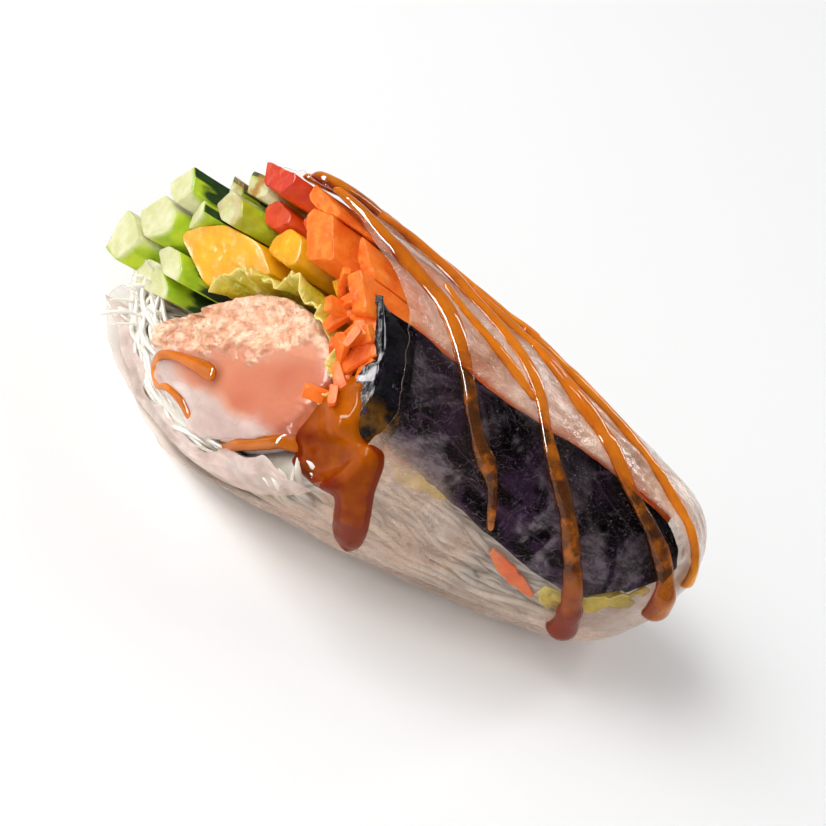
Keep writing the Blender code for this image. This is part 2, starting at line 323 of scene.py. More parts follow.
def resample(path, count):
    """Evenly spaced points on a smooth line through the given ones."""
    path = np.asarray(path, float)
    n = len(path)
    padded = np.vstack([2 * path[0] - path[1], path, 2 * path[-1] - path[-2]])
    fine = []
    for i in range(1, n):
        p0, p1, p2, p3 = padded[i - 1:i + 3]
        t = np.linspace(0, 1, 24, endpoint=False)[:, None]
        fine.append(0.5 * (2 * p1 + (p2 - p0) * t + (2 * p0 - 5 * p1 + 4 * p2 - p3) * t**2
                           + (3 * p1 - p0 - 3 * p2 + p3) * t**3))
    fine = np.vstack(fine + [path[-1:]])
    reach = reach_along(fine)
    return read_off(np.linspace(0, reach[-1], count), reach, fine)


# ---- materials

def rgb(r, g, b):
    """A display colour from 0 to 255 as the linear value that a shader takes."""
    c = np.array([r, g, b]) / 255
    linear = np.where(c <= 0.04045, c / 12.92, ((c + 0.055) / 1.055) ** 2.4)
    return (*linear, 1.0)


class Paint:
    """A node material built up a step at a time around one Principled shader."""

    def __init__(self, name, **inputs):
        self.material = bpy.data.materials.new(name)
        self.material.use_nodes = True
        self.tree = self.material.node_tree
        self.shader = self.tree.nodes["Principled BSDF"]
        for key, value in inputs.items():
            self.shader.inputs[key.replace("_", " ")].default_value = value
        self.place = self.tree.nodes.new("ShaderNodeTexCoord").outputs["Object"]

    def node(self, kind, links=None, **settings):
        """A new node, its inputs linked or set, and its own settings set."""
        made = self.tree.nodes.new(kind)
        for key, value in settings.items():
            setattr(made, key, value)
        for key, value in (links or {}).items():
            self.feed(made.inputs[key], value)
        return made

    def feed(self, socket, value):
        """Link a socket to the value if that is an output, or set it."""
        if isinstance(value, bpy.types.NodeSocket):
            self.tree.links.new(value, socket)
        else:
            socket.default_value = value

    def value(self, name):
        """A per-point value stored on the mesh."""
        return self.node("ShaderNodeAttribute", attribute_name=name).outputs["Fac"]

    def noise(self, scale, detail=4.0, stretch=(1, 1, 1), roughness=0.55, distortion=0.0):
        """Noise that is fixed to the piece."""
        at = self.node("ShaderNodeMapping", {"Vector": self.place, "Scale": stretch})
        return self.node("ShaderNodeTexNoise",
                         {"Vector": at.outputs[0], "Scale": scale, "Detail": detail,
                          "Roughness": roughness, "Distortion": distortion}).outputs["Fac"]

    def step(self, value, low, high):
        """The value run from 0 at low to 1 at high."""
        return self.node("ShaderNodeMapRange",
                         {"Value": value, "From Min": low, "From Max": high},
                         interpolation_type="SMOOTHSTEP").outputs["Result"]

    def math(self, how, a, b=0.5):
        """One sum of a Math node."""
        return self.node("ShaderNodeMath", {0: a, 1: b}, operation=how).outputs[0]

    def mix(self, share, a, b):
        """The first colour where the share is 0, the second where it is 1."""
        return self.node("ShaderNodeMix", {0: share, 6: a, 7: b}, data_type="RGBA").outputs[2]

    def times(self, a, b):
        return self.math("MULTIPLY", a, b)

    def plus(self, a, b):
        return self.math("ADD", a, b)

    def less(self, a, b):
        return self.math("SUBTRACT", a, b)

    def patches(self, scale, detail, low, high, **more):
        """Soft-edged patches of noise."""
        return self.step(self.noise(scale, detail, **more), low, high)

    def lines(self, scale, detail, low, high, **more):
        """Thin wandering lines, where the noise passes its middle."""
        near = self.math("ABSOLUTE", self.less(self.noise(scale, detail, **more), 0.5))
        return self.less(1.0, self.step(near, low, high))

    def bump(self, height, distance):
        """Fine relief, that deep in metres."""
        links = {"Height": height, "Distance": distance, "Strength": 1.0}
        normal = self.node("ShaderNodeBump", links).outputs[0]
        self.feed(self.shader.inputs["Normal"], normal)
        return normal

    def blend(self, share, a, b):
        """The first shader where the share is 0, the second where it is 1."""
        return self.node("ShaderNodeMixShader", {0: share, 1: a, 2: b}).outputs[0]

    def inside(self):
        """1 where the inner side of a surface is seen, 0 on its outer side."""
        return self.node("ShaderNodeNewGeometry").outputs["Backfacing"]

    def outer(self):
        """1 where the outer side of a surface is seen, 0 on its inner side."""
        return self.less(1.0, self.inside())

    def clear(self, tint):
        """A see-through shader of that tint."""
        return self.node("ShaderNodeBsdfTransparent", {"Color": tint}).outputs[0]

    def colour(self, value):
        """Set the colour of the surface."""
        self.feed(self.shader.inputs["Base Color"], value)

    def wet(self, body, normal, roughness, ior, sheen=1.0):
        """Finish with a thin gloss on the outer side of see-through stuff."""
        links = {"Roughness": roughness, "Normal": normal, "Color": (1, 1, 1, 1)}
        gloss = self.node("ShaderNodeBsdfGlossy", links).outputs[0]
        facing = self.node("ShaderNodeFresnel", {"IOR": ior, "Normal": normal}).outputs[0]
        share = self.times(self.times(facing, self.outer()), sheen)
        surface = self.tree.nodes["Material Output"].inputs["Surface"]
        self.feed(surface, self.blend(share, body, gloss))


def carrot_paint():
    """Orange flesh with long fibres, paler and blotched where it is cut across."""
    p = Paint("carrot_flesh", Roughness=0.40, Specular_IOR_Level=0.12, Subsurface_Weight=0.10,
              Subsurface_Scale=0.0012, Subsurface_Radius=(1.0, 0.35, 0.1))
    fibre = p.noise(900, 4, stretch=(1, 0.10, 1))
    base = p.mix(p.patches(170, 3, 0.30, 0.72), rgb(228, 90, 16), rgb(250, 132, 42))
    base = p.mix(p.times(p.step(fibre, 0.50, 0.80), 0.40), base, rgb(255, 172, 92))
    end = p.mix(p.patches(650, 4, 0.35, 0.75), rgb(234, 100, 20), rgb(248, 150, 58))
    p.colour(p.mix(p.times(p.value("cap"), 0.6), base, end))
    p.bump(p.plus(fibre, p.noise(1500, 2)), 0.00012)
    return p.material


def cucumber_paint():
    """Pale flesh, lime towards the skin, dark green skin, and sauce that has stained some."""
    p = Paint("cucumber_flesh", Roughness=0.30, Specular_IOR_Level=0.25, Subsurface_Weight=0.2,
              Subsurface_Scale=0.0015, Subsurface_Radius=(0.9, 1.0, 0.6))
    skin = p.value("skin")
    flesh = p.mix(p.patches(420, 3, 0.35, 0.7), rgb(200, 200, 142), rgb(217, 215, 174))
    lime = p.mix(p.patches(300, 3, 0.3, 0.7), rgb(140, 172, 10), rgb(186, 204, 40))
    inner = p.less(skin, p.times(p.value("cap"), 0.28))
    base = p.mix(p.step(inner, 0.15, 0.62), flesh, lime)
    dark = p.mix(p.patches(260, 4, 0.35, 0.70, stretch=(1, 0.25, 1)), rgb(14, 34, 6), rgb(46, 80, 14))
    base = p.mix(p.step(skin, 0.86, 0.93), base, dark)
    stain = p.times(p.value("stain"), p.patches(230, 4, 0.36, 0.60))
    p.colour(p.mix(stain, base, rgb(164, 116, 22)))
    p.bump(p.noise(700, 4), 0.00012)
    return p.material


def pepper_paint(name, dark, light, pale):
    """Pepper flesh with pale spots on its cut ends: partly paler pitted flesh, partly painted wet highlights.
    """
    p = Paint(name, Roughness=0.34, Specular_IOR_Level=0.28)
    base = p.mix(p.patches(140, 3, 0.32, 0.70), dark, light)
    # wet: the pale spots on the cut end, partly paler pitted flesh and partly painted highlights.
    wet = p.times(p.patches(620, 5, 0.52, 0.70, roughness=0.65), p.patches(130, 2, 0.42, 0.56))
    p.colour(p.mix(p.times(wet, p.times(p.value("cap"), 0.6)), base, pale))
    p.bump(p.noise(800, 4), 0.00015)
    return p.material


def salmon_paint():
    """Smooth wet flesh, whiter under the film and in a painted highlight band under the flakes, and dull
    flakes with brown threads above.
    """
    p = Paint("salmon_flesh", Specular_IOR_Level=0.35, Subsurface_Weight=0.2,
              Subsurface_Scale=0.002, Subsurface_Radius=(1.0, 0.45, 0.3))
    flake = p.value("flake")
    white = p.value("white")
    flesh = p.mix(p.patches(90, 2, 0.3, 0.72), rgb(200, 100, 60), rgb(214, 128, 86))
    # white: paler under the film, and a painted highlight band under the flakes.
    flesh = p.mix(p.step(white, 0.1, 0.5), flesh, rgb(214, 146, 116))
    flesh = p.mix(p.step(white, 0.40, 1.0), flesh, rgb(208, 188, 184))
    grain = p.patches(520, 4, 0.38, 0.62, roughness=0.6)
    flakes = p.mix(grain, rgb(224, 164, 126), rgb(240, 206, 174))
    # crease: the valleys between the flakes are coloured a darker orange-brown.
    flakes = p.mix(p.times(p.value("crease"), 0.55), flakes, rgb(214, 128, 84))
    thread = p.lines(340, 3, 0.003, 0.014, roughness=0.5, distortion=2.2)
    thread = p.times(p.times(thread, p.patches(200, 2, 0.40, 0.56)), 0.75)
    flakes = p.mix(thread, flakes, rgb(190, 84, 38))
    p.colour(p.mix(flake, flesh, flakes))
    dull = p.node("ShaderNodeMapRange", {"Value": flake, "To Min": 0.30, "To Max": 0.60})
    p.feed(p.shader.inputs["Roughness"], dull.outputs["Result"])
    p.bump(p.times(flake, p.noise(700, 4, roughness=0.6)), 0.0005)
    return p.material


def lettuce_paint():
    """Yellow-green leaf with a pale edge, which is a painted highlight."""
    p = Paint("lettuce_leaf", Roughness=0.40, Specular_IOR_Level=0.25, Subsurface_Weight=0.30,
              Subsurface_Scale=0.0008)
    base = p.mix(p.patches(300, 4, 0.32, 0.7), rgb(164, 152, 8), rgb(218, 192, 46))
    # edge: a painted highlight along the leaf's edge.
    p.colour(p.mix(p.times(p.value("edge"), 0.75), base, rgb(240, 226, 140)))
    p.bump(p.noise(700, 4), 0.0004)
    return p.material


def dark_leaf_paint(name="dark_leaf_skin", shine=0.02):
    """Nearly black leaf, with pale specks, purple veins, dull frosted parts and fine creases, and painted
    highlights where the pale value says.
    """
    p = Paint(name, Specular_IOR_Level=shine)
    vein = p.value("vein")
    cold = p.value("frost")
    base = p.mix(p.patches(300, 5, 0.40, 0.62, roughness=0.6), rgb(3, 2, 4), rgb(20, 15, 23))
    purple = p.times(p.patches(150, 4, 0.47, 0.60, distortion=0.8), cold)
    base = p.mix(p.times(purple, 0.85), base, rgb(58, 38, 66))
    base = p.mix(p.times(vein, 0.35), base, rgb(98, 78, 102))
    speck = p.patches(2300, 4, 0.58, 0.64, roughness=0.75)
    speck = p.times(speck, p.times(p.patches(420, 3, 0.38, 0.60), p.value("speck")))
    base = p.mix(p.times(speck, 0.45), base, rgb(146, 140, 150))
    frost = p.times(p.patches(105, 5, 0.47, 0.57, distortion=1.0), cold)
    streak = p.patches(700, 5, 0.42, 0.62, stretch=(1, 0.4, 1), roughness=0.7)
    frost = p.times(frost, p.plus(p.times(streak, 0.50), 0.22))
    base = p.mix(frost, base, rgb(140, 130, 142))
    crease = p.lines(170, 3, 0.002, 0.010, roughness=0.5, distortion=2.0)
    crease = p.times(crease, p.plus(p.times(cold, 0.26), 0.03))
    base = p.mix(crease, base, rgb(160, 152, 164))
    stain = p.times(p.value("brown"), p.patches(420, 4, 0.40, 0.62))
    base = p.mix(stain, base, rgb(104, 66, 12))
    # pale: painted highlights, on the fold's crumpled edges.
    p.colour(p.mix(p.value("pale"), base, rgb(186, 182, 186)))
    wet = p.patches(260, 3, 0.42, 0.6)
    gloss = p.node("ShaderNodeMapRange", {"Value": wet, "To Min": 0.36, "To Max": 0.12})
    p.feed(p.shader.inputs["Roughness"], gloss.outputs["Result"])
    p.bump(p.plus(p.noise(900, 5), p.times(vein, 1.2)), 0.0002)
    return p.material


def noodle_paint(name="noodle_strand", low=(204, 192, 174), pale=(232, 226, 214), soft=0.85):
    """Off-white starch that light goes into."""
    p = Paint(name, Roughness=0.26, Specular_IOR_Level=0.4, Subsurface_Weight=soft,
              Subsurface_Scale=0.003, Subsurface_Radius=(1.0, 0.9, 0.75))
    p.colour(p.mix(p.patches(200, 3, 0.3, 0.7), rgb(*low), rgb(*pale)))
    return p.material


def film_paint(name="wet_rice_paper", clouds=0.8, fibres=0.14, low=(212, 168, 138),
               pale=(240, 206, 184)):
    """Wet rice paper, from clear to cloudy as the mesh's milk value says, with faint fibres."""
    p = Paint(name, Roughness=0.25)
    p.colour(p.mix(p.patches(120, 3, 0.3, 0.7), rgb(*low), rgb(*pale)))
    milk = p.value("milk")
    cloud = p.patches(85, 5, 0.30, 0.72, roughness=0.6, distortion=0.6)
    fibre = p.lines(420, 5, 0.004, 0.022, stretch=(1, 0.5, 1), roughness=0.6, distortion=1.2)
    share = p.plus(p.times(cloud, clouds), 1.0 - clouds * 0.6)
    share = p.plus(share, p.times(fibre, fibres * 2))
    alpha = p.plus(p.times(milk, share), p.times(fibre, fibres * 0.12))
    alpha = p.node("ShaderNodeClamp", {0: alpha}).outputs[0]
    height = p.plus(p.noise(260, 5, roughness=0.6, distortion=0.8), p.times(p.noise(1100, 3), 0.25))
    normal = p.bump(height, 0.0006 * clouds)
    body = p.blend(alpha, p.clear((0.97, 0.945, 0.915, 1)), p.shader.outputs[0])
    sheen = p.plus(0.12, p.times(p.step(milk, 0.0, 0.25), 0.88))
    p.wet(body, normal, 0.09, 1.28, sheen)
    return p.material


def sauce_paint(name="brown_glaze", ior=1.42, streaks=0.9):
    """Glaze that light passes through: amber over pale things, brown over dark ones with painted amber
    glints; deep darkens it, partly for thickness and partly as painted shade.
    """
    p = Paint(name, Roughness=0.3, Specular_IOR_Level=0.0)
    streak = p.times(p.less(p.noise(260, 3), 0.5), streaks)
    deep = p.node("ShaderNodeClamp", {0: p.plus(p.value("deep"), streak)}).outputs[0]
    p.colour(p.mix(deep, rgb(238, 132, 12), rgb(120, 34, 0)))
    normal = p.bump(p.noise(240, 2), 0.0001)
    tint = p.mix(deep, (0.84, 0.36, 0.03, 1), (0.38, 0.07, 0.002, 1))
    clear = p.clear(p.mix(p.inside(), tint, (1, 1, 1, 1)))
    # Painted glints: patches of opaque amber where the glaze is thin over the dark leaf, in place of light
    # scattered in it.
    painted_glints = p.patches(250, 3, 0.47, 0.74)
    thin = p.less(1.0, p.value("body"))
    share = p.plus(p.value("body"), p.times(p.times(painted_glints, thin), 0.55))
    body = p.blend(p.times(share, p.outer()), clear, p.shader.outputs[0])
    p.wet(body, normal, 0.03, ior)
    return p.material


# One material for each slot, and for the pieces of a slot that look different.
PAINTS = {
    "carrot": carrot_paint(),
    "cucumber": cucumber_paint(),
    # The last colour of each pepper is its pale spots, partly painted highlight.
    "yellow_pepper": pepper_paint("yellow_pepper_flesh", rgb(222, 148, 0), rgb(234, 172, 0),
                                  rgb(244, 196, 70)),
    "red_pepper": pepper_paint("red_pepper_flesh", rgb(196, 36, 2), rgb(226, 92, 12),
                               rgb(244, 130, 60)),
    "salmon": salmon_paint(),
    "lettuce": lettuce_paint(),
    "dark_leaf": dark_leaf_paint(),
    "leaf_fold": dark_leaf_paint("dark_leaf_wet", 0.18),
    "noodles": noodle_paint(),
    # A lighter copy of the noodle paint, painted light that offsets the shade at the cut.
    "noodle_ends": noodle_paint("noodle_end", (226, 218, 202), (244, 240, 230), 0.2),
    "rice_paper": film_paint(),
    "flap": film_paint("wet_rice_paper_flap", 0.12, 0.05, (212, 180, 170), (240, 224, 216)),
    "sauce": sauce_paint(),
    "pool": sauce_paint("brown_glaze_pool", 1.17, 0.55),
}


# ---- reading the solids

def solid(node):
    """A welded bmesh of a CAD node."""
    bm = bmesh.new()
    bm.from_mesh(NODES[node].data)
    bmesh.ops.remove_doubles(bm, verts=bm.verts[:], dist=1e-6)
    return bm


def section(node):
    """Corners of a prism's section, in order round its middle, in (u, w)."""
    bm = solid(node)
    cut = bmesh.ops.bisect_plane(bm, geom=bm.verts[:] + bm.edges[:] + bm.faces[:], dist=1e-7,
                                 plane_co=(0, SECTION_Y - MIDDLE_Y, 0), plane_no=(0, 1, 0))
    points = np.array([g.co for g in cut["geom_cut"] if isinstance(g, bmesh.types.BMVert)])
    bm.free()
    u, w, _ = unplace(points)
    order = np.argsort(np.arctan2(w - w.mean(), u - u.mean()))
    corners = np.stack([u, w], -1)[order]
    keep = []
    for i, c in enumerate(corners):
        a, b = c - corners[i - 1], corners[(i + 1) % len(corners)] - c
        turn = a[0] * b[1] - a[1] * b[0]
        if abs(turn) > 0.02 * np.linalg.norm(a) * np.linalg.norm(b):
            keep.append(c)
    return np.array(keep)


def front_plane(node):
    """A point on the cut end of a prism, and the end's outward normal."""
    bm = solid(node)
    total, normal, point = 0.0, np.zeros(3), np.zeros(3)
    for face in bm.faces:
        if face.normal.dot(Vector(CUT_NORMAL)) > 0.8:
            area = face.calc_area()
            total += area
            normal += np.array(face.normal) * area
            point += np.array(face.calc_center_median()) * area
    bm.free()
    return point / total, normal / np.linalg.norm(normal)


def section_points(node):
    """The corners of a CAD node as section coordinates u, w and y."""
    return unplace(np.array([v.co for v in NODES[node].data.vertices]))


def leaf_rows(node):
    """The rows of a leaf grid's solid: y, lowest angle and highest angle of each."""
    u, w, y = section_points(node)
    angle = np.degrees(np.arctan2(w, u))
    ys = np.round(y / MM, 0)
    table = [(k * MM, angle[ys == k].min(), angle[ys == k].max()) for k in np.unique(ys)
             if (ys == k).sum() > 6]
    return np.array(table), np.hypot(u, w).mean()


def leaf_edges(table, y):
    """The lowest and the highest angle of a leaf at y."""
    return np.interp(y, table[:, 0], table[:, 1]), np.interp(y, table[:, 0], table[:, 2])


def rounded(corners, radius, count):
    """A closed outline of count points with its corners rounded."""
    points = []
    for i, c in enumerate(corners):
        a, b = corners[i - 1] - c, corners[(i + 1) % len(corners)] - c
        la, lb = np.linalg.norm(a), np.linalg.norm(b)
        p, q = c + a / la * min(radius, la * 0.45), c + b / lb * min(radius, lb * 0.45)
        t = np.linspace(0, 1, 7)[:, None]
        points.append(p * (1 - t) ** 2 + c * 2 * t * (1 - t) + q * t**2)
    points = np.vstack(points)
    closed = np.vstack([points, points[:1]])
    reach = reach_along(closed)
    return read_off(np.linspace(0, reach[-1], count, endpoint=False), reach, closed)


# ---- the sticks and the salmon

CRISP_LENGTH = 9.0            # mm from the cut over which a stick's rings lie close together
SPLAY_LENGTH = 11 * MM        # sticks spread from each other over this much behind the cut

# Of each kind of stick, in mm: the rounding of its corners and of the edge round its cut end, the
# relief on its sides and its end, and how far it spreads; and how square across its end is cut.
STICKS = {
    "carrot": dict(corner=0.22, edge=0.15, relief=0.12, cap_relief=0.20, splay=0.9, square=0.35,
                   count=40),
    "cucumber": dict(corner=0.22, edge=0.14, relief=0.05, cap_relief=0.10, splay=1.0, square=0.40,
                     count=40),
    "yellow_pepper": dict(corner=0.7, edge=0.4, relief=0.10, cap_relief=0.20, splay=0.5, square=0.2,
                          count=48),
    "red_pepper": dict(corner=0.4, edge=0.2, relief=0.12, cap_relief=0.20, splay=0.8, square=0.3,
                       count=40),
}


def make_prism(node, kind, seed, corner, edge, relief, cap_relief, count, splay=0.0, square=0.0,
               extra=None, rings=np.linspace(0.04, 1, 9)):
    """A cut stick as a fine mesh: rings on its cut end, a crisp edge, sides and a back cap."""
    corner, edge, relief, cap_relief, splay = (v * MM for v in (corner, edge, relief, cap_relief, splay))
    rng = np.random.default_rng(seed)
    outline = rounded(section(node), corner, count)
    middle = outline.mean(0)
    point, normal = front_plane(node)
    tilt = np.array([0, -1, 0]) * square + rng.normal(0, 0.10, 3) * (square > 0)
    normal = normal * (1 - square) + tilt
    normal = normal / np.linalg.norm(normal)
    end = section_points(node)[2].max()
    lean = middle / np.linalg.norm(middle) * splay * rng.uniform(0.3, 1.0)
    outward = np.roll(outline, -1, 0) - np.roll(outline, 1, 0)
    outward = unit(np.stack([outward[:, 1], -outward[:, 0]], -1))
    if ((outline - middle) * outward).sum() < 0:
        outward = -outward
    size = np.linalg.norm(outline - middle, axis=1).mean()
    front = on_plane(*outline.T, point, normal)
    rows, cap = [], []

    def spread(ring, y):
        """World points of a ring, moved outward near the cut."""
        free = np.clip(1 - (y - front.mean()) / SPLAY_LENGTH, 0, 1.3)[:, None] ** 2
        return place(*(ring + lean * free).T, y)

    def add_side(ring, y, grain, octaves, share):
        """One ring of the sides, with relief of that grain in mm."""
        wave = fbm(place(*ring.T, y) / np.array(grain) / MM, octaves, seed + 3)
        rows.append(spread(ring + outward * (wave * relief)[:, None], y))
        cap.append(share)

    for share in rings:
        inset = middle + (outline - middle) * share * (1 - edge / size)
        y = on_plane(*inset.T, point, normal)
        p = spread(inset, y)
        rows.append(p + normal * (fbm(p / (0.9 * MM), 3, seed) * cap_relief)[:, None])
        cap.append(1.0)
    close = np.linspace(0.6, CRISP_LENGTH, 20)[1:] * MM
    for reach in np.concatenate([edge * np.array([0.15, 0.5, 1.0]), close]):
        tuck = edge * (1 - math.sqrt(1 - (1 - min(reach / edge, 1)) ** 2)) * 0.8
        add_side(outline - outward * tuck, front + reach, [0.7, 2.6, 0.7], 3,
                 1 - smooth(0.2, 1.2, reach / MM))
    for t in np.linspace(0, 1, 19)[1:]:
        y = front + CRISP_LENGTH * MM + (end - front - CRISP_LENGTH * MM) * t
        add_side(outline, y, [0.9, 3.5, 0.9], 2, 0.0)
    for share in (0.6, 0.1):
        rows.append(place(*(middle + (outline - middle) * share).T, end))
        cap.append(0.0)
    points = np.concatenate(rows)
    values = {"cap": np.repeat(cap, count)}
    if extra:
        values.update(extra(points))
    faces = closed_faces(len(rows), count)
    obj = make_mesh(node + "_real", points, faces, kind, values)
    obj.data.set_sharp_from_angle(angle=SHARP_ANGLE)
    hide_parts(node)
    return obj


# Which way each cucumber stick's outer side faces, and how green it is: 1 keeps its dark skin.
SKIN_SIDES = {1: (-34, 0.84), 2: (35, 1), 3: (40, 1), 4: (30, 1), 5: (100, 1), 6: (30, 1), 7: (95, 1),
              8: (20, 0.84), 9: (110, 1)}
STAINS = {7: 1.0, 8: 0.45, 9: 1.0}      # how brown the sauce has made some of them


def cucumber_values(number):
    """What a cucumber stick's material needs: how near its skin a point is, and the stain."""
    degrees, green = SKIN_SIDES[number]
    corners = section("cucumber_%d" % number)
    side = np.roll(corners, -1, 0) - corners
    normal = unit(np.stack([side[:, 1], -side[:, 0]], -1))
    normal *= np.sign((normal * (corners - corners.mean(0))).sum(1))[:, None]
    outer = np.flatnonzero(normal @ np.array(polar(1.0, math.radians(degrees))) > 0.64)

    def values(points):
        """Those values at world points."""
        u, w, _ = unplace(points)
        inward = np.min([(corners[k] - np.stack([u, w], -1)) @ normal[k] for k in outer], 0)
        skin = np.exp(-np.clip(inward, 0, None) / (1.0 * MM)) * green
        return {"skin": skin, "stain": np.full(len(points), STAINS.get(number, 0.0))}

    return values


def make_sticks():
    """Every cut stick at its own solid."""
    for index, node in enumerate(sorted(NODES)):
        kind, _, number = node.rpartition("_")
        if kind in STICKS and node != "carrot_11":
            extra = cucumber_values(int(number)) if kind == "cucumber" else None
            make_prism(node, kind, seed=20 + index, extra=extra, **STICKS[kind])


def make_carrot_shreds():
    """Short carrot ends that lie across the cut, among the sticks."""
    rng = np.random.default_rng(8)
    sides = 20
    stations = np.array([-1, -0.96, -0.5, 0, 0.5, 0.96, 1])
    square = np.array([(-1, -1), (1, -1), (1, 1), (-1, 1)])
    points, faces, caps = [], [], []
    for k in range(17):
        t = rng.uniform(0, 1)
        u, w = polar(rng.uniform(15.5, 19.3), math.radians(76 - 56 * t))
        centre = on_face([(u - 1.0, w)])[0]
        centre = centre + CUT_NORMAL * rng.uniform(-0.9, 0.7) * MM
        sine = math.sin(math.radians(76 - 56 * t))
        axis = np.array([sine * rng.normal(0, 1), rng.normal(0, 0.45), rng.normal(0, 1)])
        axis = axis - CUT_NORMAL * 0.4
        axis /= np.linalg.norm(axis)
        side = np.cross(axis, CUT_NORMAL + rng.normal(0, 0.35, 3))
        side /= np.linalg.norm(side)
        up = np.cross(side, axis)
        half = np.array([rng.uniform(2.0, 4.2), rng.uniform(0.8, 1.5), rng.uniform(0.4, 0.8)]) * MM
        outline = rounded(square * half[1:], 0.25 * MM, sides)
        flat = outline[:, :1] * side + outline[:, 1:] * up
        faces += closed_faces(len(stations), sides, len(points) * sides)
        for q in stations:
            shrink = (0.90 if abs(q) == 1 else 1.0) * (1 - 0.25 * q * (k % 3 == 0))
            bow = up * half[0] * 0.12 * (1 - q * q)
            ring = centre + axis * half[0] * q + bow + flat * shrink
            points.append(ring + 0.10 * MM * fbm(ring / (0.8 * MM), 2, k)[:, None] * up)
            caps.append(float(abs(q) > 0.9))
    obj = make_mesh("carrot_shreds", np.concatenate(points), faces, "carrot",
                    {"cap": np.repeat(caps, sides)})
    obj.data.set_sharp_from_angle(angle=SHARP_ANGLE)


def salmon_values(points):
    """Where the salmon is flaky (above), and where it is whiter: under the film below and at the left, and in
    a painted highlight band just under the flakes.
    """
    u, w, _ = unplace(points)
    high = upward(u, w)
    ragged = fbm(points / (2.2 * MM), 3, 5)
    broad = fbm(points / (7 * MM), 2, 15) * MM
    flake = smooth(-6.0 * MM, -3.7 * MM, high + ragged * 1.8 * MM)
    down = smooth(-11.5 * MM, -16 * MM, high + 0.26 * u + 0.39 * w + broad * 1.5)
    left = smooth(-7.5 * MM, -15 * MM, w + 0.3 * u + broad * 1.5)
    # top: the painted highlight band just under the flakes.
    top = 0.38 * smooth(-8.5 * MM, -4 * MM, high + broad * 1.2)
    return {"flake": flake, "white": np.clip(np.maximum(np.maximum(down, left), top), 0, 1)}


def make_salmon():
    """The salmon strip, torn into flakes on the upper part of its cut face."""
    obj = make_prism("salmon", "salmon", seed=3, corner=1.6, edge=1.2, relief=0.20, cap_relief=0.04,
                     count=210, extra=salmon_values, rings=np.linspace(0.02, 1, 66))
    mesh = obj.data
    co = np.array([v.co for v in mesh.vertices])
    u, w, _ = unplace(co)
    flaky = np.prod([[a.value for a in mesh.attributes[key].data] for key in ("flake", "cap")], 0)
    torn = np.abs(fbm(co / np.array([1.5, 1.5, 2.2]) / MM, 4, 9))
    crease = mesh.attributes.new("crease", "FLOAT", "POINT")
    crease.data.foreach_set("value", (1 - smooth(0.02, 0.16, torn)).astype(np.float32))
    lumps = torn * 1.1 - 0.50 + 0.9 * value_noise(co / (3.2 * MM), 12)
    co = co + CUT_NORMAL * (flaky * lumps * MM)[:, None]
    out = triple((u - 5 * MM) / (9 * MM), 0.0, (w + 3 * MM) / (9 * MM))
    rim = flaky * smooth(0.55, 1.0, np.hypot(out[:, 0], out[:, 2]))
    co = co + out * (fbm(co / (1.8 * MM), 3, 27) * 0.55 * MM * rim)[:, None]
    mesh.vertices.foreach_set("co", co.astype(np.float32).ravel())


# ---- the leaves

def make_dark_leaf():
    """The dark leaf under the wrapper, from the cut to the folded end."""
    table, radius = leaf_rows("dark_leaf")
    b, a = grid(220, 110)
    y = 0 * a * b
    for _ in range(3):
        low, high = leaf_edges(table, y)
        ragged = 1.6 * value_noise(triple(y / (3.5 * MM)), 4)
        angle = (low + ragged) + (high - low) * a
        front = on_cut(*polar(radius, np.radians(angle)), 0.3 * MM)
        y = front + (table[-1, 0] - front) * b
    at = place(*polar(radius, np.radians(angle)), y) / MM
    crinkle = 0.35 * fbm(at / np.array([4, 6, 4]), 4, 2) + 0.16 * np.abs(fbm(at / 1.3, 3, 8))
    points = place(*polar(radius + crinkle * MM * 0.8, np.radians(angle)), y)
    vein_at = triple(angle / 9 + y / (9 * MM), y / (16 * MM) - angle / 40)
    vein = 1 - smooth(0.0, 0.10, np.abs(value_noise(vein_at, 31)))
    fine = 1 - smooth(0.0, 0.07, np.abs(value_noise(vein_at * 2.7, 37)))
    frost = smooth(14 * MM, 22 * MM, y) * smooth(95, 20, angle + y / MM * 0.3)
    values = {"vein": np.clip(vein + fine * 0.6, 0, 1), "frost": np.clip(frost, 0, 1),
              "pale": 0.0, "brown": 0.0, "speck": np.clip(1 - 0.6 * frost, 0, 1)}
    obj = make_sheet("dark_leaf_real", points, 0.35 * MM, "dark_leaf", values)
    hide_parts("dark_leaf")


# Across the fold: how far it comes out of the cut and how deep it lies in the roll, in mm at full
# size.  Along it, from its top down: its size.
FOLD_ACROSS = [0, 0.3, 0.42, 0.52, 0.62, 0.75, 1]
FOLD_OUT = [-5, -0.6, 0.5, 1.0, 0.7, -0.4, -3.4]
FOLD_DEPTH = [0, -0.15, 0.0, 0.45, 0.95, 1.15, 0.9]
FOLD_ALONG = [0, 0.05, 0.2, 0.42, 0.6, 0.72, 0.85, 1]
FOLD_SIZE = [0.05, 0.45, 0.75, 0.85, 1.25, 1.2, 0.6, 0.3]

# Painted highlights on it, as pale bands where its crumpled edges catch the light: from and to
# along it, middle and half width across it, how pale, and how much they slant.
FOLD_PAINTED_GLINTS = [(0.36, 0.72, 0.38, 0.042, 1.0, 0.55), (0.50, 0.57, 0.57, 0.03, 0.8, 0),
              (0.0, 0.36, 0.375, 0.014, 0.8, 0), (0.55, 0.70, 0.385, 0.022, 0.8, 0),
              (0.86, 0.97, 0.50, 0.03, 0.7, 0)]


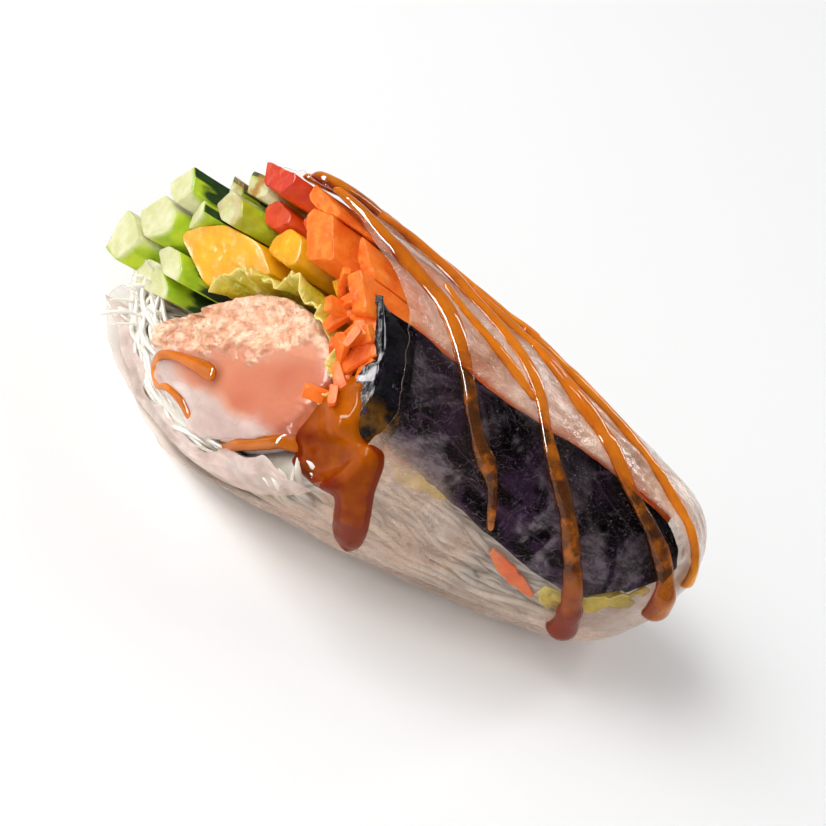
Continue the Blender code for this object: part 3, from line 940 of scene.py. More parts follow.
def make_leaf_fold():
    """The leaf's front edge, which curls out over the cut as a narrow hood, crumpled and wet, with painted
    highlights on its edges.
    """
    s, v = grid(200, 110)
    size = np.interp(s, FOLD_ALONG, FOLD_SIZE)
    out = np.interp(v, FOLD_ACROSS, FOLD_OUT)
    inset = np.interp(v, FOLD_ACROSS, FOLD_DEPTH)
    crumple = fbm(triple(s * 7, v * 5.5 + s * 2), 4, 44)
    ridge = np.abs(value_noise(triple(s * 3.0, v * 11 + 4 * s), 51))
    front = smooth(0.36, 0.5, v)
    low = smooth(0.35, 0.6, s)
    out = out * np.where(out > 0, size, np.maximum(smooth(0.02, 0.22, s), 0.03))
    out = out + front * (crumple * 0.45 + low * (0.5 - 1.4 * ridge))
    inset = inset * size + front * (0.25 * crumple + low * (0.35 - 0.9 * ridge))
    u, w = polar(21.45 * MM - inset * MM, np.radians(70.5 - 54 * s))
    points = place(u, w, on_cut(u, w) - out * MM)
    wander = 0.05 * value_noise(triple(s * 9), 5)
    # pale: painted highlights along the fold's crumpled edges.
    pale = 0.0
    for start, stop, across, half, share, lean in FOLD_PAINTED_GLINTS:
        along = smooth(start, start + 0.04, s) * smooth(stop, stop - 0.04, s)
        across = across + lean * (s - start) + wander
        pale = pale + share * along * smooth(half, half * 0.6, np.abs(v - across))
    values = {"vein": 0.0, "frost": 0.0, "speck": 0.0, "pale": np.clip(pale, 0, 1),
              "brown": smooth(0.64, 0.80, s)}
    make_sheet("dark_leaf_fold", points, 0.22 * MM, "dark_leaf", values, paint="leaf_fold")


def lettuce_spine(count):
    """The lettuce's line round the salmon as count section points, and the y where it ends."""
    u, w, y = section_points("lettuce_1")
    near = np.abs(y - 20 * MM) < 3 * MM
    u, w = u[near], w[near]
    angle = np.arctan2(w + 4.0 * MM, u - 5.0 * MM)
    angle = np.where(angle < -2.5, angle + 2 * math.pi, angle)
    bins = np.linspace(angle.min(), angle.max(), 26)
    spine = []
    for low, high in zip(bins, bins[1:]):
        inside = (angle >= low) & (angle <= high)
        if inside.any():
            spine.append((u[inside].mean(), w[inside].mean()))
    return resample(np.array(spine), count), y.max()


def make_lettuce():
    """The leaf over the salmon, ruffled where it comes out at the cut."""
    b, along = grid(90, 260)
    spine, end = lettuce_spine(along.size)
    side = np.gradient(spine, axis=0)
    side = unit(np.stack([side[:, 1], -side[:, 0]], -1))
    front = on_cut(*spine.T, 0.9 * MM)[None, :]
    y = front + (end - front) * b**1.8
    depth = (y - front) / MM
    ruffle = np.exp(-depth / 3.0) * smooth(0.0, 0.16, along)
    waves = 1.5 * fbm(triple(along * 26), 3, 12)
    lift = (1.15 * ruffle * waves + 0.25 * fbm(triple(along * 30, depth / 3), 3, 4)) * MM
    y = y - ruffle * (0.9 + 0.8 * np.sin(along * 41 + 1)) * MM + 6.0 * MM * smooth(0.18, 0.08, along)
    points = place(spine[:, 0] + side[:, 0] * lift, spine[:, 1] + side[:, 1] * lift, y)
    # edge: where the painted highlight lies, along the ruffled front at the cut.
    values = {"edge": np.exp(-depth / 0.45)}
    obj = make_sheet("lettuce_1_real", points, 0.3 * MM, "lettuce", values)
    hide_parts("lettuce_1")


def make_patch_leaf(node, kind, cols, rows, crinkle, thickness):
    """A small sheet that lies just under the wrapper: lettuce or a carrot shaving."""
    table, radius = leaf_rows(node)
    b, a = grid(rows, cols)
    y = table[0, 0] + (table[-1, 0] - table[0, 0]) * b + 0 * a
    low, high = leaf_edges(table, y)
    angle = np.radians(low + (high - low) * a)
    r = radius + crinkle * fbm(triple(angle * 12, y / (1.4 * MM)), 3, 6)
    edge = np.maximum(np.abs(a - 0.5), np.abs(b - 0.5)) * 2
    # edge: where the lettuce paint puts its painted highlight, round the sheet's border.
    values = {"edge": smooth(0.8, 1.0, edge), "cap": 0.0}
    obj = make_sheet(node + "_real", place(*polar(r, angle), y), thickness, kind, values)
    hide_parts(node)


def make_lettuce_sliver():
    """Lettuce that shows green through the wrapper below the leaf, near the cut."""
    b, a = grid(40, 40)
    half = 4.5 * np.sin(np.pi * (0.06 + 0.88 * b)) ** 0.6
    degrees = 12 + 4 * b + half * (2 * a - 1) + 2.5 * value_noise(triple(b * 6, a * 2), 3)
    r = 21.15 * MM + 0.2 * MM * fbm(triple(b * 8, a * 8), 2, 5)
    points = place(*polar(r, np.radians(degrees)), (25 + 10 * b) * MM)
    make_sheet("lettuce_sliver", points, 0.2 * MM, "lettuce", {"edge": 0.0})


# ---- the noodles

def make_noodle_core():
    """The noodle bed's solid drawn in on all sides, and further at the cut."""
    bm = solid("noodles")
    bmesh.ops.recalc_face_normals(bm, faces=bm.faces[:])
    for vert in bm.verts:
        vert.co -= vert.normal * 0.7 * MM
        behind = -(np.array(vert.co) - CUT_POINT) @ CUT_NORMAL
        sunk = 2.2 * MM * (1 - smooth(0, 4.5 * MM, behind)) * smooth(0.10, -0.10, vert.co.x - MM)
        side = Vector((vert.co.x + MIDDLE_X, 0, vert.co.z - DROP))
        vert.co -= side.normalized() * sunk
        vert.co -= Vector(CUT_NORMAL) * (2.6 * MM * (1 - smooth(0, 5 * MM, behind)))
    core = bpy.data.meshes.new("noodle_core")
    bm.to_mesh(core)
    bm.free()
    core.materials.append(PAINTS["noodles"])
    core.shade_smooth()
    obj = link("noodle_core", core)
    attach(obj, "root")
    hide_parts("noodles")


def make_noodle_strands():
    """Two layers of noodles that lie along the roll, under the dark leaf's lower edge."""
    rng = np.random.default_rng(11)
    edge, _ = leaf_rows("dark_leaf")
    end = 66 * MM
    t = np.linspace(0, 1, 44)
    paths, radii = [], []
    for layer, count in enumerate((62, 46)):
        for k in range(count):
            angle = -142 + 158 * (k + rng.uniform(-0.4, 0.4)) / count
            base = 20.9 * MM if angle < -26 else 19.9 * MM
            r = base - layer * 0.9 * MM + rng.uniform(-0.3, 0.2) * MM
            drift = rng.uniform(-15, 15) * smooth(0, -40, angle)
            phase = rng.uniform(0, 6.3, 3)
            back = rng.uniform(2.2, 4.2) + 1.5 * smooth(-30, -10, angle)
            u, w = polar(r, math.radians(angle))
            front = on_cut(u, w, -back * MM)
            last = end - rng.uniform(0, 8) * MM
            y = front + (last - front) * t
            below_leaf = np.interp(y, edge[:, 0], edge[:, 1]) - 3
            turn = angle + (below_leaf - 8) * smooth(-60, 8, angle)
            turn = turn + drift * (t - 0.3) + 2.8 * np.sin(t * 9 + phase[0]) + 1.6 * np.sin(t * 21 + phase[1])
            a = np.radians(turn)
            rr = (r + 0.25 * MM * np.sin(t * 15 + phase[2])) * np.where(turn < -20, bulge(a, y), 1.0)
            u, w = polar(rr, a)
            paths.append(place(u, above_floor(w, 1.5 * MM), y))
            radii.append(rng.uniform(0.42, 0.62) * MM * np.sqrt(np.clip(1 - (2 * t - 1) ** 30, 0.02, 1)))
    make_mesh("noodle_strands", *tubes(paths, radii, 6), "noodles")


def lying_end(rng):
    """A noodle that lies round the bed's cut face."""
    middle = rng.uniform(-140, -66)
    half = rng.uniform(9, 24)
    depth = rng.uniform(0.2, 4.4 + 2.6 * smooth(-105, -128, middle))
    t = np.linspace(0, 1, 30)
    a = np.radians(middle + half * (2 * t - 1))
    r = (20.9 - depth + rng.normal(0, 0.3)) * MM
    r = r + 0.6 * MM * np.sin(t * rng.uniform(3, 7) + rng.uniform(0, 6.3))
    u, w = polar(r, a)
    w = above_floor(w, 1.3 * MM)
    out = rng.uniform(-1.6, 0.2) * MM - 5 * MM * (2 * np.abs(t - 0.5)) ** 4
    out = out - 2.2 * MM * smooth(18.6 * MM, 21 * MM, r)
    path = place(u, w, on_cut(u, w) - out)
    return path, rng.uniform(0.28, 0.42) * MM * np.sqrt(np.clip(1 - (2 * t - 1) ** 8, 0.01, 1))


def hanging_end(rng):
    """A noodle that comes out of the left side of the bed and bends down."""
    angle = rng.uniform(-148, -112)
    r = 20.2 * MM - rng.uniform(0.2, 4.4) * MM
    u, w = polar(r, math.radians(angle))
    w = max(w, 1.6 * MM - DROP)
    proud = rng.uniform(-1.5, 2.2) * MM
    t = np.linspace(0, 1, 24)
    free = (1 - t) ** 2
    bend = rng.normal(0, 1.5, 2) * MM + np.array([1.2, 0.6]) * MM
    y = on_cut(u, w, proud) + 9 * MM * t
    path = place(u + bend[0] * free, above_floor(w + bend[1] * free, 1.2 * MM), y)
    return path, rng.uniform(0.22, 0.36) * MM * np.sqrt(np.clip(1 - (1 - t) ** 20, 0.02, 1))


def make_noodle_ends():
    """Noodles at the cut: they lie round the bed's face, and some hang out of its left side; their paint is a
    lighter copy, painted light against the shade there.
    """
    rng = np.random.default_rng(4)
    ends = [lying_end(rng) for _ in range(120)] + [hanging_end(rng) for _ in range(30)]
    points, faces = tubes(*zip(*ends), 8)
    make_mesh("noodle_ends", points, faces, "noodles", paint="noodle_ends")


# ---- the wrapper

def film_radius(angle, y, t):
    """Radius of the wrapper's visible skin.

    Noise makes it uneven, ridged and creased; it doesn't follow the fillings.  It is pleated at
    the folded end, and the low raised band at the back is a guessed lap.
    """
    across, up = np.cos(angle), np.sin(angle)
    ring = triple(across * 5, up * 5, y / (9 * MM))
    ridge = triple(across * 9, up * 9, y / (26 * MM))
    crease = triple(across * 7 + y / (7 * MM), up * 7, y / (7 * MM))
    r = FILM_RADIUS + 0.35 * MM * fbm(ring, 2, 3) + 0.30 * MM * fbm(ridge, 2, 5)
    r = r - 0.16 * MM * (1 - smooth(0.0, 0.16, np.abs(fbm(crease, 2, 14))))
    pleats = np.sin(angle * 9 + t * 9 + 1.5 * np.sin(angle * 2))
    r = r + smooth(0.72, 0.98, t) * (0.55 * pleats + 0.3) * MM
    past_lap = np.degrees(angle) - 148 + 14 * t
    return r + 0.25 * MM * smooth(0.0, 3.0, past_lap) * smooth(24, 18, past_lap)


def film_grid(angle, t):
    """World points of the wrapper skin at angle (radians) and t from rim (0) to tip (1)."""
    u, w = polar(FILM_RADIUS, angle)
    rim = on_plane(u, above_floor(w, 0.0), WRAP_POINT, WRAP_NORMAL, clearance=False)
    degrees = np.degrees(angle)
    rim = rim - 4.2 * MM * np.exp(-(((degrees - 110) / 22) ** 2))
    rim = rim + 5.5 * MM * (smooth(134, 154, degrees) + smooth(-126, -146, degrees))
    ragged = 0.6 * MM * fbm(triple(*polar(6, angle)), 3, 21)
    y = rim + ragged + (FILM_END - rim - ragged) * t
    u, w = polar(film_radius(angle, y, t) * bulge(angle, y), angle)
    return place(u, above_floor(w), y, clearance=False), y


def milkiness(angle, y, t):
    """How white the wrapper is: thick at the folded end and above the leaf, thin over it."""
    degrees = np.degrees(angle)

    def between(low, high, soft):
        """1 between two angles, with soft edges inside them."""
        return smooth(low, low + soft, degrees) * smooth(high, high - soft, degrees)

    leaf_low, leaf_high = leaf_edges(leaf_rows("dark_leaf")[0], y)
    leaf = smooth(leaf_low - 4, leaf_low + 5, degrees) * smooth(leaf_high + 1.5, leaf_high - 2, degrees)
    leaf = leaf * smooth(0.99, 0.93, t)
    top = smooth(66, 82, degrees) * smooth(178, 140, degrees)
    under = smooth(10, -6, degrees) * smooth(-170, -120, degrees)
    patch = smooth(0.1, 0.7, value_noise(triple(degrees / 14, t * 9), 61))
    veil = between(-6, 30, 14) * smooth(0.30, 0.14, t)
    milk = 0.44 - 0.12 * top * smooth(0.16, 0.04, t) + 0.34 * top * smooth(0.2, 0.75, t)
    milk = milk + 0.16 * smooth(54, 60, degrees) * smooth(98, 84, degrees) * smooth(0.03, 0.12, t)
    milk = milk * (1 - leaf) + (0.001 + 0.012 * patch) * leaf + 0.24 * veil
    shaving = smooth(42 * MM, 45 * MM, y) * smooth(61 * MM, 58 * MM, y) * between(-22, 8, 6)
    tip = smooth(56 * MM, 59 * MM, y) * smooth(73 * MM, 70 * MM, y)
    tip = tip * smooth(-14, -8, degrees) * smooth(34, 27, degrees)
    milk = milk * (1 - 0.65 * np.maximum(shaving, tip))
    milk = milk * (1 - 0.85 * under * smooth(0.10, 0.0, t))
    back = smooth(112, 128, degrees) + smooth(-150, -165, degrees)
    milk = milk * (1 - 0.95 * np.clip(back, 0, 1) * smooth(0.30, 0.12, t))
    return np.clip(milk + 0.25 * smooth(0.86, 1.0, t), 0.0, 1.0)


def make_film():
    """The wrapper, as one skin that is closed at the folded end."""
    rows, cols = 250, 330
    angle = np.linspace(-math.pi, math.pi, cols, endpoint=False)[None, :]
    t = np.linspace(0, 1, rows)[:, None] ** 0.92
    angle, t = np.broadcast_arrays(angle, t)
    points, y = film_grid(angle, t)
    faces = lattice(rows, cols, wrap=True).tolist() + [list(range((rows - 1) * cols, rows * cols))]
    obj = make_mesh("rice_paper_real", points.reshape(-1, 3), faces, "rice_paper",
                    {"milk": milkiness(angle, y, t).ravel()})
    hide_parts("rice_paper")
    return obj


def make_film_rim():
    """The cut edge of the wrapper, whiter and a little thicker than the sheet."""
    angle = np.linspace(-math.pi, math.pi, 401)
    path, _ = film_grid(angle, 0 * angle)
    radius = 0.032 * MM * (1.1 + 0.6 * value_noise(path / (2 * MM), 3))
    points, faces = tubes([path], [radius], 6)
    make_mesh("rice_paper_rim", points, faces, "rice_paper", {"milk": np.full(len(points), 0.12)})


def make_film_lip():
    """The wrapper's edge under the salmon, which folds in over the noodles' cut ends."""
    v, a = np.broadcast_arrays(*grid(40, 260))
    degrees = -128 + 114 * a
    angle = np.radians(degrees)
    wave = fbm(triple(*polar(7, angle), v * 1.6), 3, 33)
    width = 3.4 + 1.2 * value_noise(triple(degrees / 11), 8)
    width = width * smooth(-128, -112, degrees) * smooth(-14, -26, degrees)
    out = np.interp(v, [0, 0.15, 0.4, 0.75, 1], [-3.2, -1.2, 0.2, 0.5, 0.1]) + 0.45 * wave * v
    u, w = polar((22.1 - v * width) * MM, angle)
    w = above_floor(w, 0.25 * MM)
    p = place(u, w, on_cut(u, w) - out * MM, clearance=False)
    make_mesh("rice_paper_lip", p.reshape(-1, 3), lattice(*v.shape), "rice_paper",
              {"milk": np.clip(0.66 + 0.3 * wave, 0.3, 0.9).ravel()}, paint="flap")


# ---- lying on the pieces

def tree_of(pieces):
    """One search tree over the evaluated meshes of some pieces."""
    graph = bpy.context.evaluated_depsgraph_get()
    points, faces = [], []
    for piece in pieces:
        mesh = piece.evaluated_get(graph).to_mesh()
        start = len(points)
        points += [v.co.copy() for v in mesh.vertices]
        faces += [[start + i for i in f.vertices] for f in mesh.polygons]
    return BVHTree.FromPolygons(points, faces)


def on_face(outline):
    """World points on the cut's plane at (u, w) in mm."""
    u, w = np.array(outline)[:, 0] * MM, np.array(outline)[:, 1] * MM
    return place(u, w, on_plane(u, w, CUT_POINT, CUT_NORMAL))


def cling(tree, path, direction=None):
    """Points of a line moved on to the pieces, along a direction if given, and the normals there."""
    on, normals = [], []
    for p in path:
        hit = None
        if direction is not None:
            start = Vector(p + direction * RAY_START)
            hit, normal, _, _ = tree.ray_cast(start, Vector(-direction), RAY_REACH)
        if hit is None:
            hit, normal, _, _ = tree.find_nearest(Vector(p))
        on.append(hit)
        normals.append(normal)
    on, normals = np.array(on), np.array(normals)
    if direction is not None:
        normals = np.tile(direction / np.linalg.norm(direction), (len(on), 1))
        reach = (on - path) @ normals[0]
        for k in range(80):
            level = (reach[:-2] + reach[2:]) / 2
            reach[1:-1] = np.maximum(reach[1:-1], level) if k < 40 else (reach[1:-1] + level) / 2
        on = path + reach[:, None] * normals
    return on, normals


# Outline in mm on the cut of the wet film over the salmon.
FLAP = [(-0.8, -16.4), (-2.0, -13.7), (-0.6, -9.5), (1.3, -6.2), (3.0, -1.6), (5.7, 2.8), (8.3, 5.0),
        (10.8, 7.8), (13.4, 8.6), (13.9, 4.3), (15.0, 0.4), (16.6, -2.5), (14.8, -4.4), (13.6, -8.1),
        (10.6, -13.8), (8.6, -16.0), (5.9, -15.6), (2.2, -16.6)]


def flap_height(base, rings, count):
    """How far above the cut's plane a film stretched over salmon and noodles lies, point by point."""
    tree = tree_of([bpy.data.objects["salmon_real"], bpy.data.objects["noodle_core"]])
    direction = CUT_NORMAL / np.linalg.norm(CUT_NORMAL)
    found = []
    for p in base:
        hit, _, _, reach = tree.ray_cast(Vector(p + direction * RAY_START), Vector(-direction), RAY_REACH)
        found.append(RAY_START - reach if hit else np.nan)
    ground = np.array(found).reshape(rings, count)
    ground = np.where(np.isnan(ground), np.nanmin(ground), ground)
    h = ground
    steps = 90
    for k in range(steps):
        padded = np.vstack([np.full((1, count), h[0].mean()), h, h[-1:]])
        level = (np.roll(h, 1, 1) + np.roll(h, -1, 1) + padded[:-2] + padded[2:]) / 4
        h = np.where(level > h, level, h * 0.9 + level * 0.1) if k < steps * 0.7 else level
    return h + max(0.0, np.percentile(ground - h, 97))


def make_flap():
    """The wet film that hangs over the lower part of the salmon, with a rounded edge."""
    rings, count = 34, 132
    thickness, edge, relief = 0.5 * MM, 1.2 * MM, 0.08 * MM
    closed = resample(np.vstack([FLAP, FLAP[:1]]), count + 1)[:-1]
    wobble = [value_noise(triple(closed[:, 0] / 1.1, closed[:, 1] / 1.1, k), 3) for k in (1, 5)]
    closed = closed + 0.25 * np.stack(wobble, -1)
    middle = closed.mean(0)
    share = np.linspace(0, 1, rings + 1)[1:, None, None] ** 0.8
    u, w = (middle + (closed - middle) * share).reshape(-1, 2).T
    base = on_face(np.stack([u, w], -1))
    h = flap_height(base, rings, count)
    distance = (1 - share[:, :, 0]) * np.linalg.norm(closed - middle, axis=1)[None, :] * MM
    wave = relief * fbm(base / (2.4 * MM), 3, 8).reshape(rings, count) * np.clip(distance / edge, 0, 1)
    direction = CUT_NORMAL / np.linalg.norm(CUT_NORMAL)
    base = base.reshape(rings, count, 3)
    top = base + direction * (h + thickness * round_end(distance / edge) + wave + 0.05 * MM)[..., None]
    under = base + direction * (h - 0.25 * MM)[..., None]
    points = np.concatenate([top.reshape(-1, 3), under[-1], top[0].mean(0)[None]])
    faces = lattice(rings + 1, count, wrap=True).tolist()
    faces += [[i, (i + 1) % count, len(points) - 1] for i in range(count)]
    ragged = 1.6 * fbm(triple(u / 3.5, w / 3.5), 2, 2)
    low = smooth(-12.0, -16.5, upward(u, w) + 0.26 * u + 0.39 * w + ragged)
    left = smooth(-10.5, -15.5, w + 0.3 * u + ragged)
    milk = np.clip(0.06 + 0.62 * np.maximum(low, 0.85 * left), 0, 1)
    milk = np.concatenate([milk, milk[-count:], milk[:1]])
    return make_mesh("rice_paper_flap", points, faces, "rice_paper", {"milk": milk}, paint="flap")


# ---- sauce

# Each strand as rows of angle round the roll, share of the way to the tip and half width in mm.
STRANDS = [
    [(114, .02, .7), (108, .03, .9), (99, .04, 1.0), (93, .09, 1.2), (88, .13, 1.25), (80, .145, 1.2),
     (70, .155, 1.1), (60, .175, 1.0), (48, .21, 1.0), (40, .24, 1.1), (36, .28, 1.2), (29, .33, .8),
     (18, .39, .6), (12, .42, .4)],
    [(124, .10, .9), (121, .17, 1.2), (120, .22, 1.5), (116, .26, 1.5), (108, .28, 1.3), (102, .30, 1.15),
     (93, .34, 1.1), (86, .37, 1.1), (76, .385, 1.1), (66, .40, 1.0), (56, .43, 1.0), (48, .48, 1.1),
     (39, .54, 1.2), (30, .59, 1.25), (14, .69, 1.4), (-3, .77, 1.7), (-15, .81, 2.2), (-27, .83, 2.6)],
    [(96, .20, .5), (86, .24, .7), (80, .28, .8), (76, .33, .8), (72, .37, .7)],
    [(112, .33, .7), (104, .40, .9), (99, .47, 1.1), (93, .52, 1.1), (87, .56, 1.2), (81, .60, 1.3),
     (72, .64, 1.1), (66, .69, 1.0), (60, .75, 1.1), (53, .82, 1.3), (45, .88, 1.6), (34, .92, 2.0),
     (26, .943, 2.4), (13, .958, 3.0)],
    [(100, .42, .5), (95, .46, .7), (89, .51, .8), (84, .56, .7)],
    [(112, .44, .8), (108, .52, 1.0), (104, .60, 1.05), (100, .67, 1.0), (92, .73, .95), (86, .79, .9),
     (78, .86, .9), (70, .92, .9), (60, .955, 1.1), (52, .968, 1.4)],
    [(121, .0, 0.9), (117, .02, 1.2), (117, .05, 1.4), (120, .10, 1.4), (124, .16, 1.2), (128, .24, 1.0),
     (130, .33, .8)],
    [(122, .0, .25), (127, .03, .28), (131, .08, .26), (133, .15, .28), (134, .25, .25), (135, .36, .2)],
    [(134, .03, .7), (128, .09, .9), (125, .2, .9), (121, .31, 1.0), (116, .40, .9), (112, .48, .8)],
]

# On the cut: the outline of the pour, and the lines of sauce as u, w and half width, all in mm.
POOL = [(13.3, 8.4), (13.3, 5.6), (14.1, 3.1), (15.3, 0.0), (16.0, -2.3), (18.0, -3.5), (18.9, -4.9),
        (22.0, -4.0), (23.9, -2.8), (25.6, -2.0), (28.3, -3.9), (30.4, -5.0), (32.6, -4.8), (33.6, -3.7),
        (33.3, -1.6), (30.7, 1.1), (28.2, 3.3), (26.8, 5.0), (25.4, 7.0), (23.8, 7.8), (22.3, 7.0),
        (21.0, 6.6), (19.5, 7.2), (18.1, 7.7), (17.1, 8.8), (16.2, 9.9), (14.8, 10.4), (13.6, 9.7)]
ROPE = [(4.9, -7.6, 1.1), (3.2, -8.5, 1.25), (1.2, -10.0, 0.9), (-0.6, -11.7, 0.7), (-1.9, -14.0, 0.8),
        (-1.3, -16.3, 1.0), (0.6, -16.9, 0.75), (2.4, -15.2, 0.55), (4.9, -14.3, 0.6), (7.2, -14.6, 0.6),
        (8.8, -15.8, 0.8)]
BAND = [(8.4, -16.2, 0.9), (10.2, -14.8, 1.2), (12.0, -12.5, 1.1), (13.6, -9.6, 1.0), (14.8, -6.6, 1.2),
        (15.6, -4.4, 1.3), (17.0, -3.2, 1.3)]
POUR = np.array([0.81, -0.12, 0.57])    # the pour's surface is a height field along this way
POOL_STEP = 0.18 * MM                   # between the points of that field
POOL_EDGE = 1.7 * MM                    # width of its rounded edge, and its thickness
POOL_THICKNESS = 0.9 * MM


def lay_strand(name, on, normal, width, body, height, darker):
    """A strand of sauce: round on top and flat below, along points on a surface."""
    count, sides = len(on), 18
    reach = reach_along(on)
    even = np.linspace(0, reach[-1], count)
    body = np.interp(even, reach, np.broadcast_to(body, count))
    on, normal = read_off(even, reach, on), read_off(even, reach, normal)
    width = np.interp(even, reach, width)
    for _ in range(20):
        normal[1:-1] = (normal[:-2] + normal[1:-1] + normal[2:]) / 3
    normal = unit(normal)
    tangent = unit(np.gradient(on, axis=0))
    side = unit(np.cross(tangent, normal))
    for at in (even, even[-1] - even):
        ending = np.clip(at / width, 0, 1)
        width = width * np.sqrt(np.clip(1 - (1 - ending) ** 2, 0.004, 1))
    a = np.linspace(0, 2 * math.pi, sides, endpoint=False)[None, :, None]
    high = np.where(np.sin(a) > 0, np.sin(a) * height, np.sin(a) * 0.25)
    ring = on[:, None] + (side[:, None] * np.cos(a) + normal[:, None] * high) * width[:, None, None]
    crown = np.clip(np.sin(a[0, :, 0]), 0, 1)[None, :]
    # deep: darker where the strand is thick, and painted shade along its edges and underside.
    deep = 0.06 + darker + 0.62 * smooth(0.8, 2.6, width / MM)[:, None] + 0.6 * (1 - crown) ** 2
    make_mesh(name, ring.reshape(-1, 3), closed_faces(count, sides), "sauce",
              {"deep": deep.ravel(), "body": np.repeat(body, sides)})


def make_strands(tree):
    """The strands over the top and the flank; they are clearer where they cross the dark leaf."""
    for number, row in enumerate(STRANDS):
        angle, t, half = resample(np.array(row, float), 150).T
        guide, _ = film_grid(np.radians(angle), t)
        on, normal = cling(tree, guide)
        outward = guide - np.array([-MIDDLE_X, 0, DROP])
        outward[:, 1] = 0
        normal *= np.sign((normal * outward).sum(1))[:, None]
        for _ in range(60):
            on[1:-1] = on[1:-1] * 0.5 + (on[:-2] + on[2:]) * 0.25
        drift = value_noise(triple(t * 40, angle / 9), number)
        width = half * MM * (1.08 + 0.14 * drift + 0.35 * smooth(0.22, 0.06, t))
        over_leaf = smooth(8, 20, angle) * smooth(76, 66, angle)
        darker = 0.5 * smooth(6, -12, angle[:, None]) * (number == 1)
        body = 0.72 - 0.66 * over_leaf + 0.2 * smooth(1.5 * MM, 2.3 * MM, width)
        lay_strand("sauce_strand_%d" % (number + 1), on, normal, width, body, 0.8, darker)


def inside_of(points, outline):
    """Which flat points lie inside a closed outline."""
    a, b = outline, np.roll(outline, -1, 0)
    x, y = points[:, 0:1], points[:, 1:2]
    crosses = (a[:, 1] > y) != (b[:, 1] > y)
    at = a[:, 0] + (y - a[:, 1]) / np.where(a[:, 1] == b[:, 1], 1, b[:, 1] - a[:, 1]) * (b[:, 0] - a[:, 0])
    return (crosses & (x < at)).sum(1) % 2 == 1


def blurred(field, times):
    """A height field smoothed over its neighbours."""
    for _ in range(times):
        p = np.pad(field, 1, mode="edge")
        field = (p[:-2, 1:-1] + p[2:, 1:-1] + p[1:-1, :-2] + p[1:-1, 2:] + 4 * field) / 8
    return field


def pool_top(ground, depth):
    """The pour's surface over the ground: it fills hollows, clings at its edge and is rounded there."""
    level = ground
    for k in range(140):
        around = blurred(level, 1)
        level = np.where(around > level, around, 0.85 * level + 0.15 * around) if k < 90 else around
    inner = depth > 0.8 * MM
    level = level + max(0.0, np.percentile((ground - level)[inner], 96))
    near = blurred(ground, 30)
    top = near + (level - near) * smooth(-0.3 * MM, 1.6 * MM, depth)
    top = blurred(np.maximum(top, np.where(depth > 0.5 * MM, ground + 0.1 * MM, top)), 8)
    return top + POOL_THICKNESS * round_end(depth / POOL_EDGE)


def make_pool(tree):
    """The sauce that pours over the edge of the cut and runs down the flank, as one smooth body."""
    direction = POUR / np.linalg.norm(POUR)
    across = np.cross([0, 0, 1.0], direction)
    across /= np.linalg.norm(across)
    flat = np.stack([across, np.cross(direction, across)], -1)
    u, w = resample(np.array(POOL + POOL[:1]), 300).T * MM
    drop = -(CUT_NORMAL[0] * u + CUT_NORMAL[2] * w) / CUT_NORMAL[1]
    face = (CUT_POINT + np.stack([u, drop, w], -1)) @ flat
    low, high = face.min(0) - 4 * MM, face.max(0) + 4 * MM
    xs, ys = np.arange(low[0], high[0], POOL_STEP), np.arange(low[1], high[1], POOL_STEP)
    field = np.stack(np.meshgrid(xs, ys), -1)
    cells = field.reshape(-1, 2)
    edge = np.sqrt(((cells[:, None] - face[None]) ** 2).sum(-1)).min(1)
    depth = blurred(np.where(inside_of(cells, face), edge, -edge).reshape(len(ys), len(xs)), 10)
    depth += 0.08 * MM * fbm(triple(*np.moveaxis(field / (2.5 * MM), -1, 0)), 2, 6)
    ground = np.full(depth.shape, np.nan)
    for i, j in np.argwhere(depth > -10 * POOL_STEP):
        at = field[i, j] @ flat.T
        hit = tree.ray_cast(Vector(at + direction * 60 * MM), Vector(-direction), 0.2)[0]
        if hit:
            ground[i, j] = np.array(hit) @ direction
    ground = np.where(np.isnan(ground), np.nanmedian(ground), ground)
    top = pool_top(ground, depth)
    slope = unit(np.stack(np.gradient(depth, POOL_STEP)[::-1], -1), 1e-9)
    moved = field - slope * np.minimum(depth, 0)[..., None]
    points = (moved @ flat.T + direction * top[..., None]).reshape(-1, 3)
    quads = lattice(len(ys), len(xs))
    kept = depth.ravel() > -2 * POOL_STEP
    quads = quads[(depth.ravel()[quads] > 0).any(1) & kept[quads].all(1)]
    used, faces = np.unique(quads, return_inverse=True)
    points, depth = points[used], depth.ravel()[used]
    facing = smooth(-3.0 * MM, -0.5 * MM, (points - CUT_POINT) @ CUT_NORMAL)
    left = smooth(6 * MM, -3 * MM, points[:, 2] - DROP)
    # deep: darker at the pour's left on the cut and all over on the flank, painted shade at its thin rim on
    # the flank, and darker towards the bottom.
    deep = 0.62 + 0.35 * left * facing + (1 - facing) * 0.6 * smooth(1.1 * MM, 0.2 * MM, depth)
    deep = deep + 0.25 * (1 - facing) + 0.5 * smooth(-7 * MM, -12 * MM, points[:, 2] - DROP)
    make_mesh("sauce_patch", points, faces.reshape(-1, 4), "sauce",
              {"deep": np.clip(deep, 0, 1.3), "body": 0.70 + 0.22 * facing}, paint="pool")


def make_face_sauce(flap):
    """The pour, the loop and the line of sauce on the cut."""
    pieces = [o for o in bpy.data.objects if o.name.endswith("_real")]
    tree = tree_of(pieces + [flap, bpy.data.objects["noodle_core"]])
    make_pool(tree)
    for name, row, proud in (("sauce_rope", ROPE, 0.25), ("sauce_band", BAND, 0.7)):
        line = resample(np.array(row, float), 90)
        on, normal = cling(tree, on_face(line[:, :2]), CUT_NORMAL)
        lay_strand(name, on + CUT_NORMAL * proud * MM, normal, line[:, 2] * MM, 0.7, 0.55, 0.20)


# ---- stage, light and camera

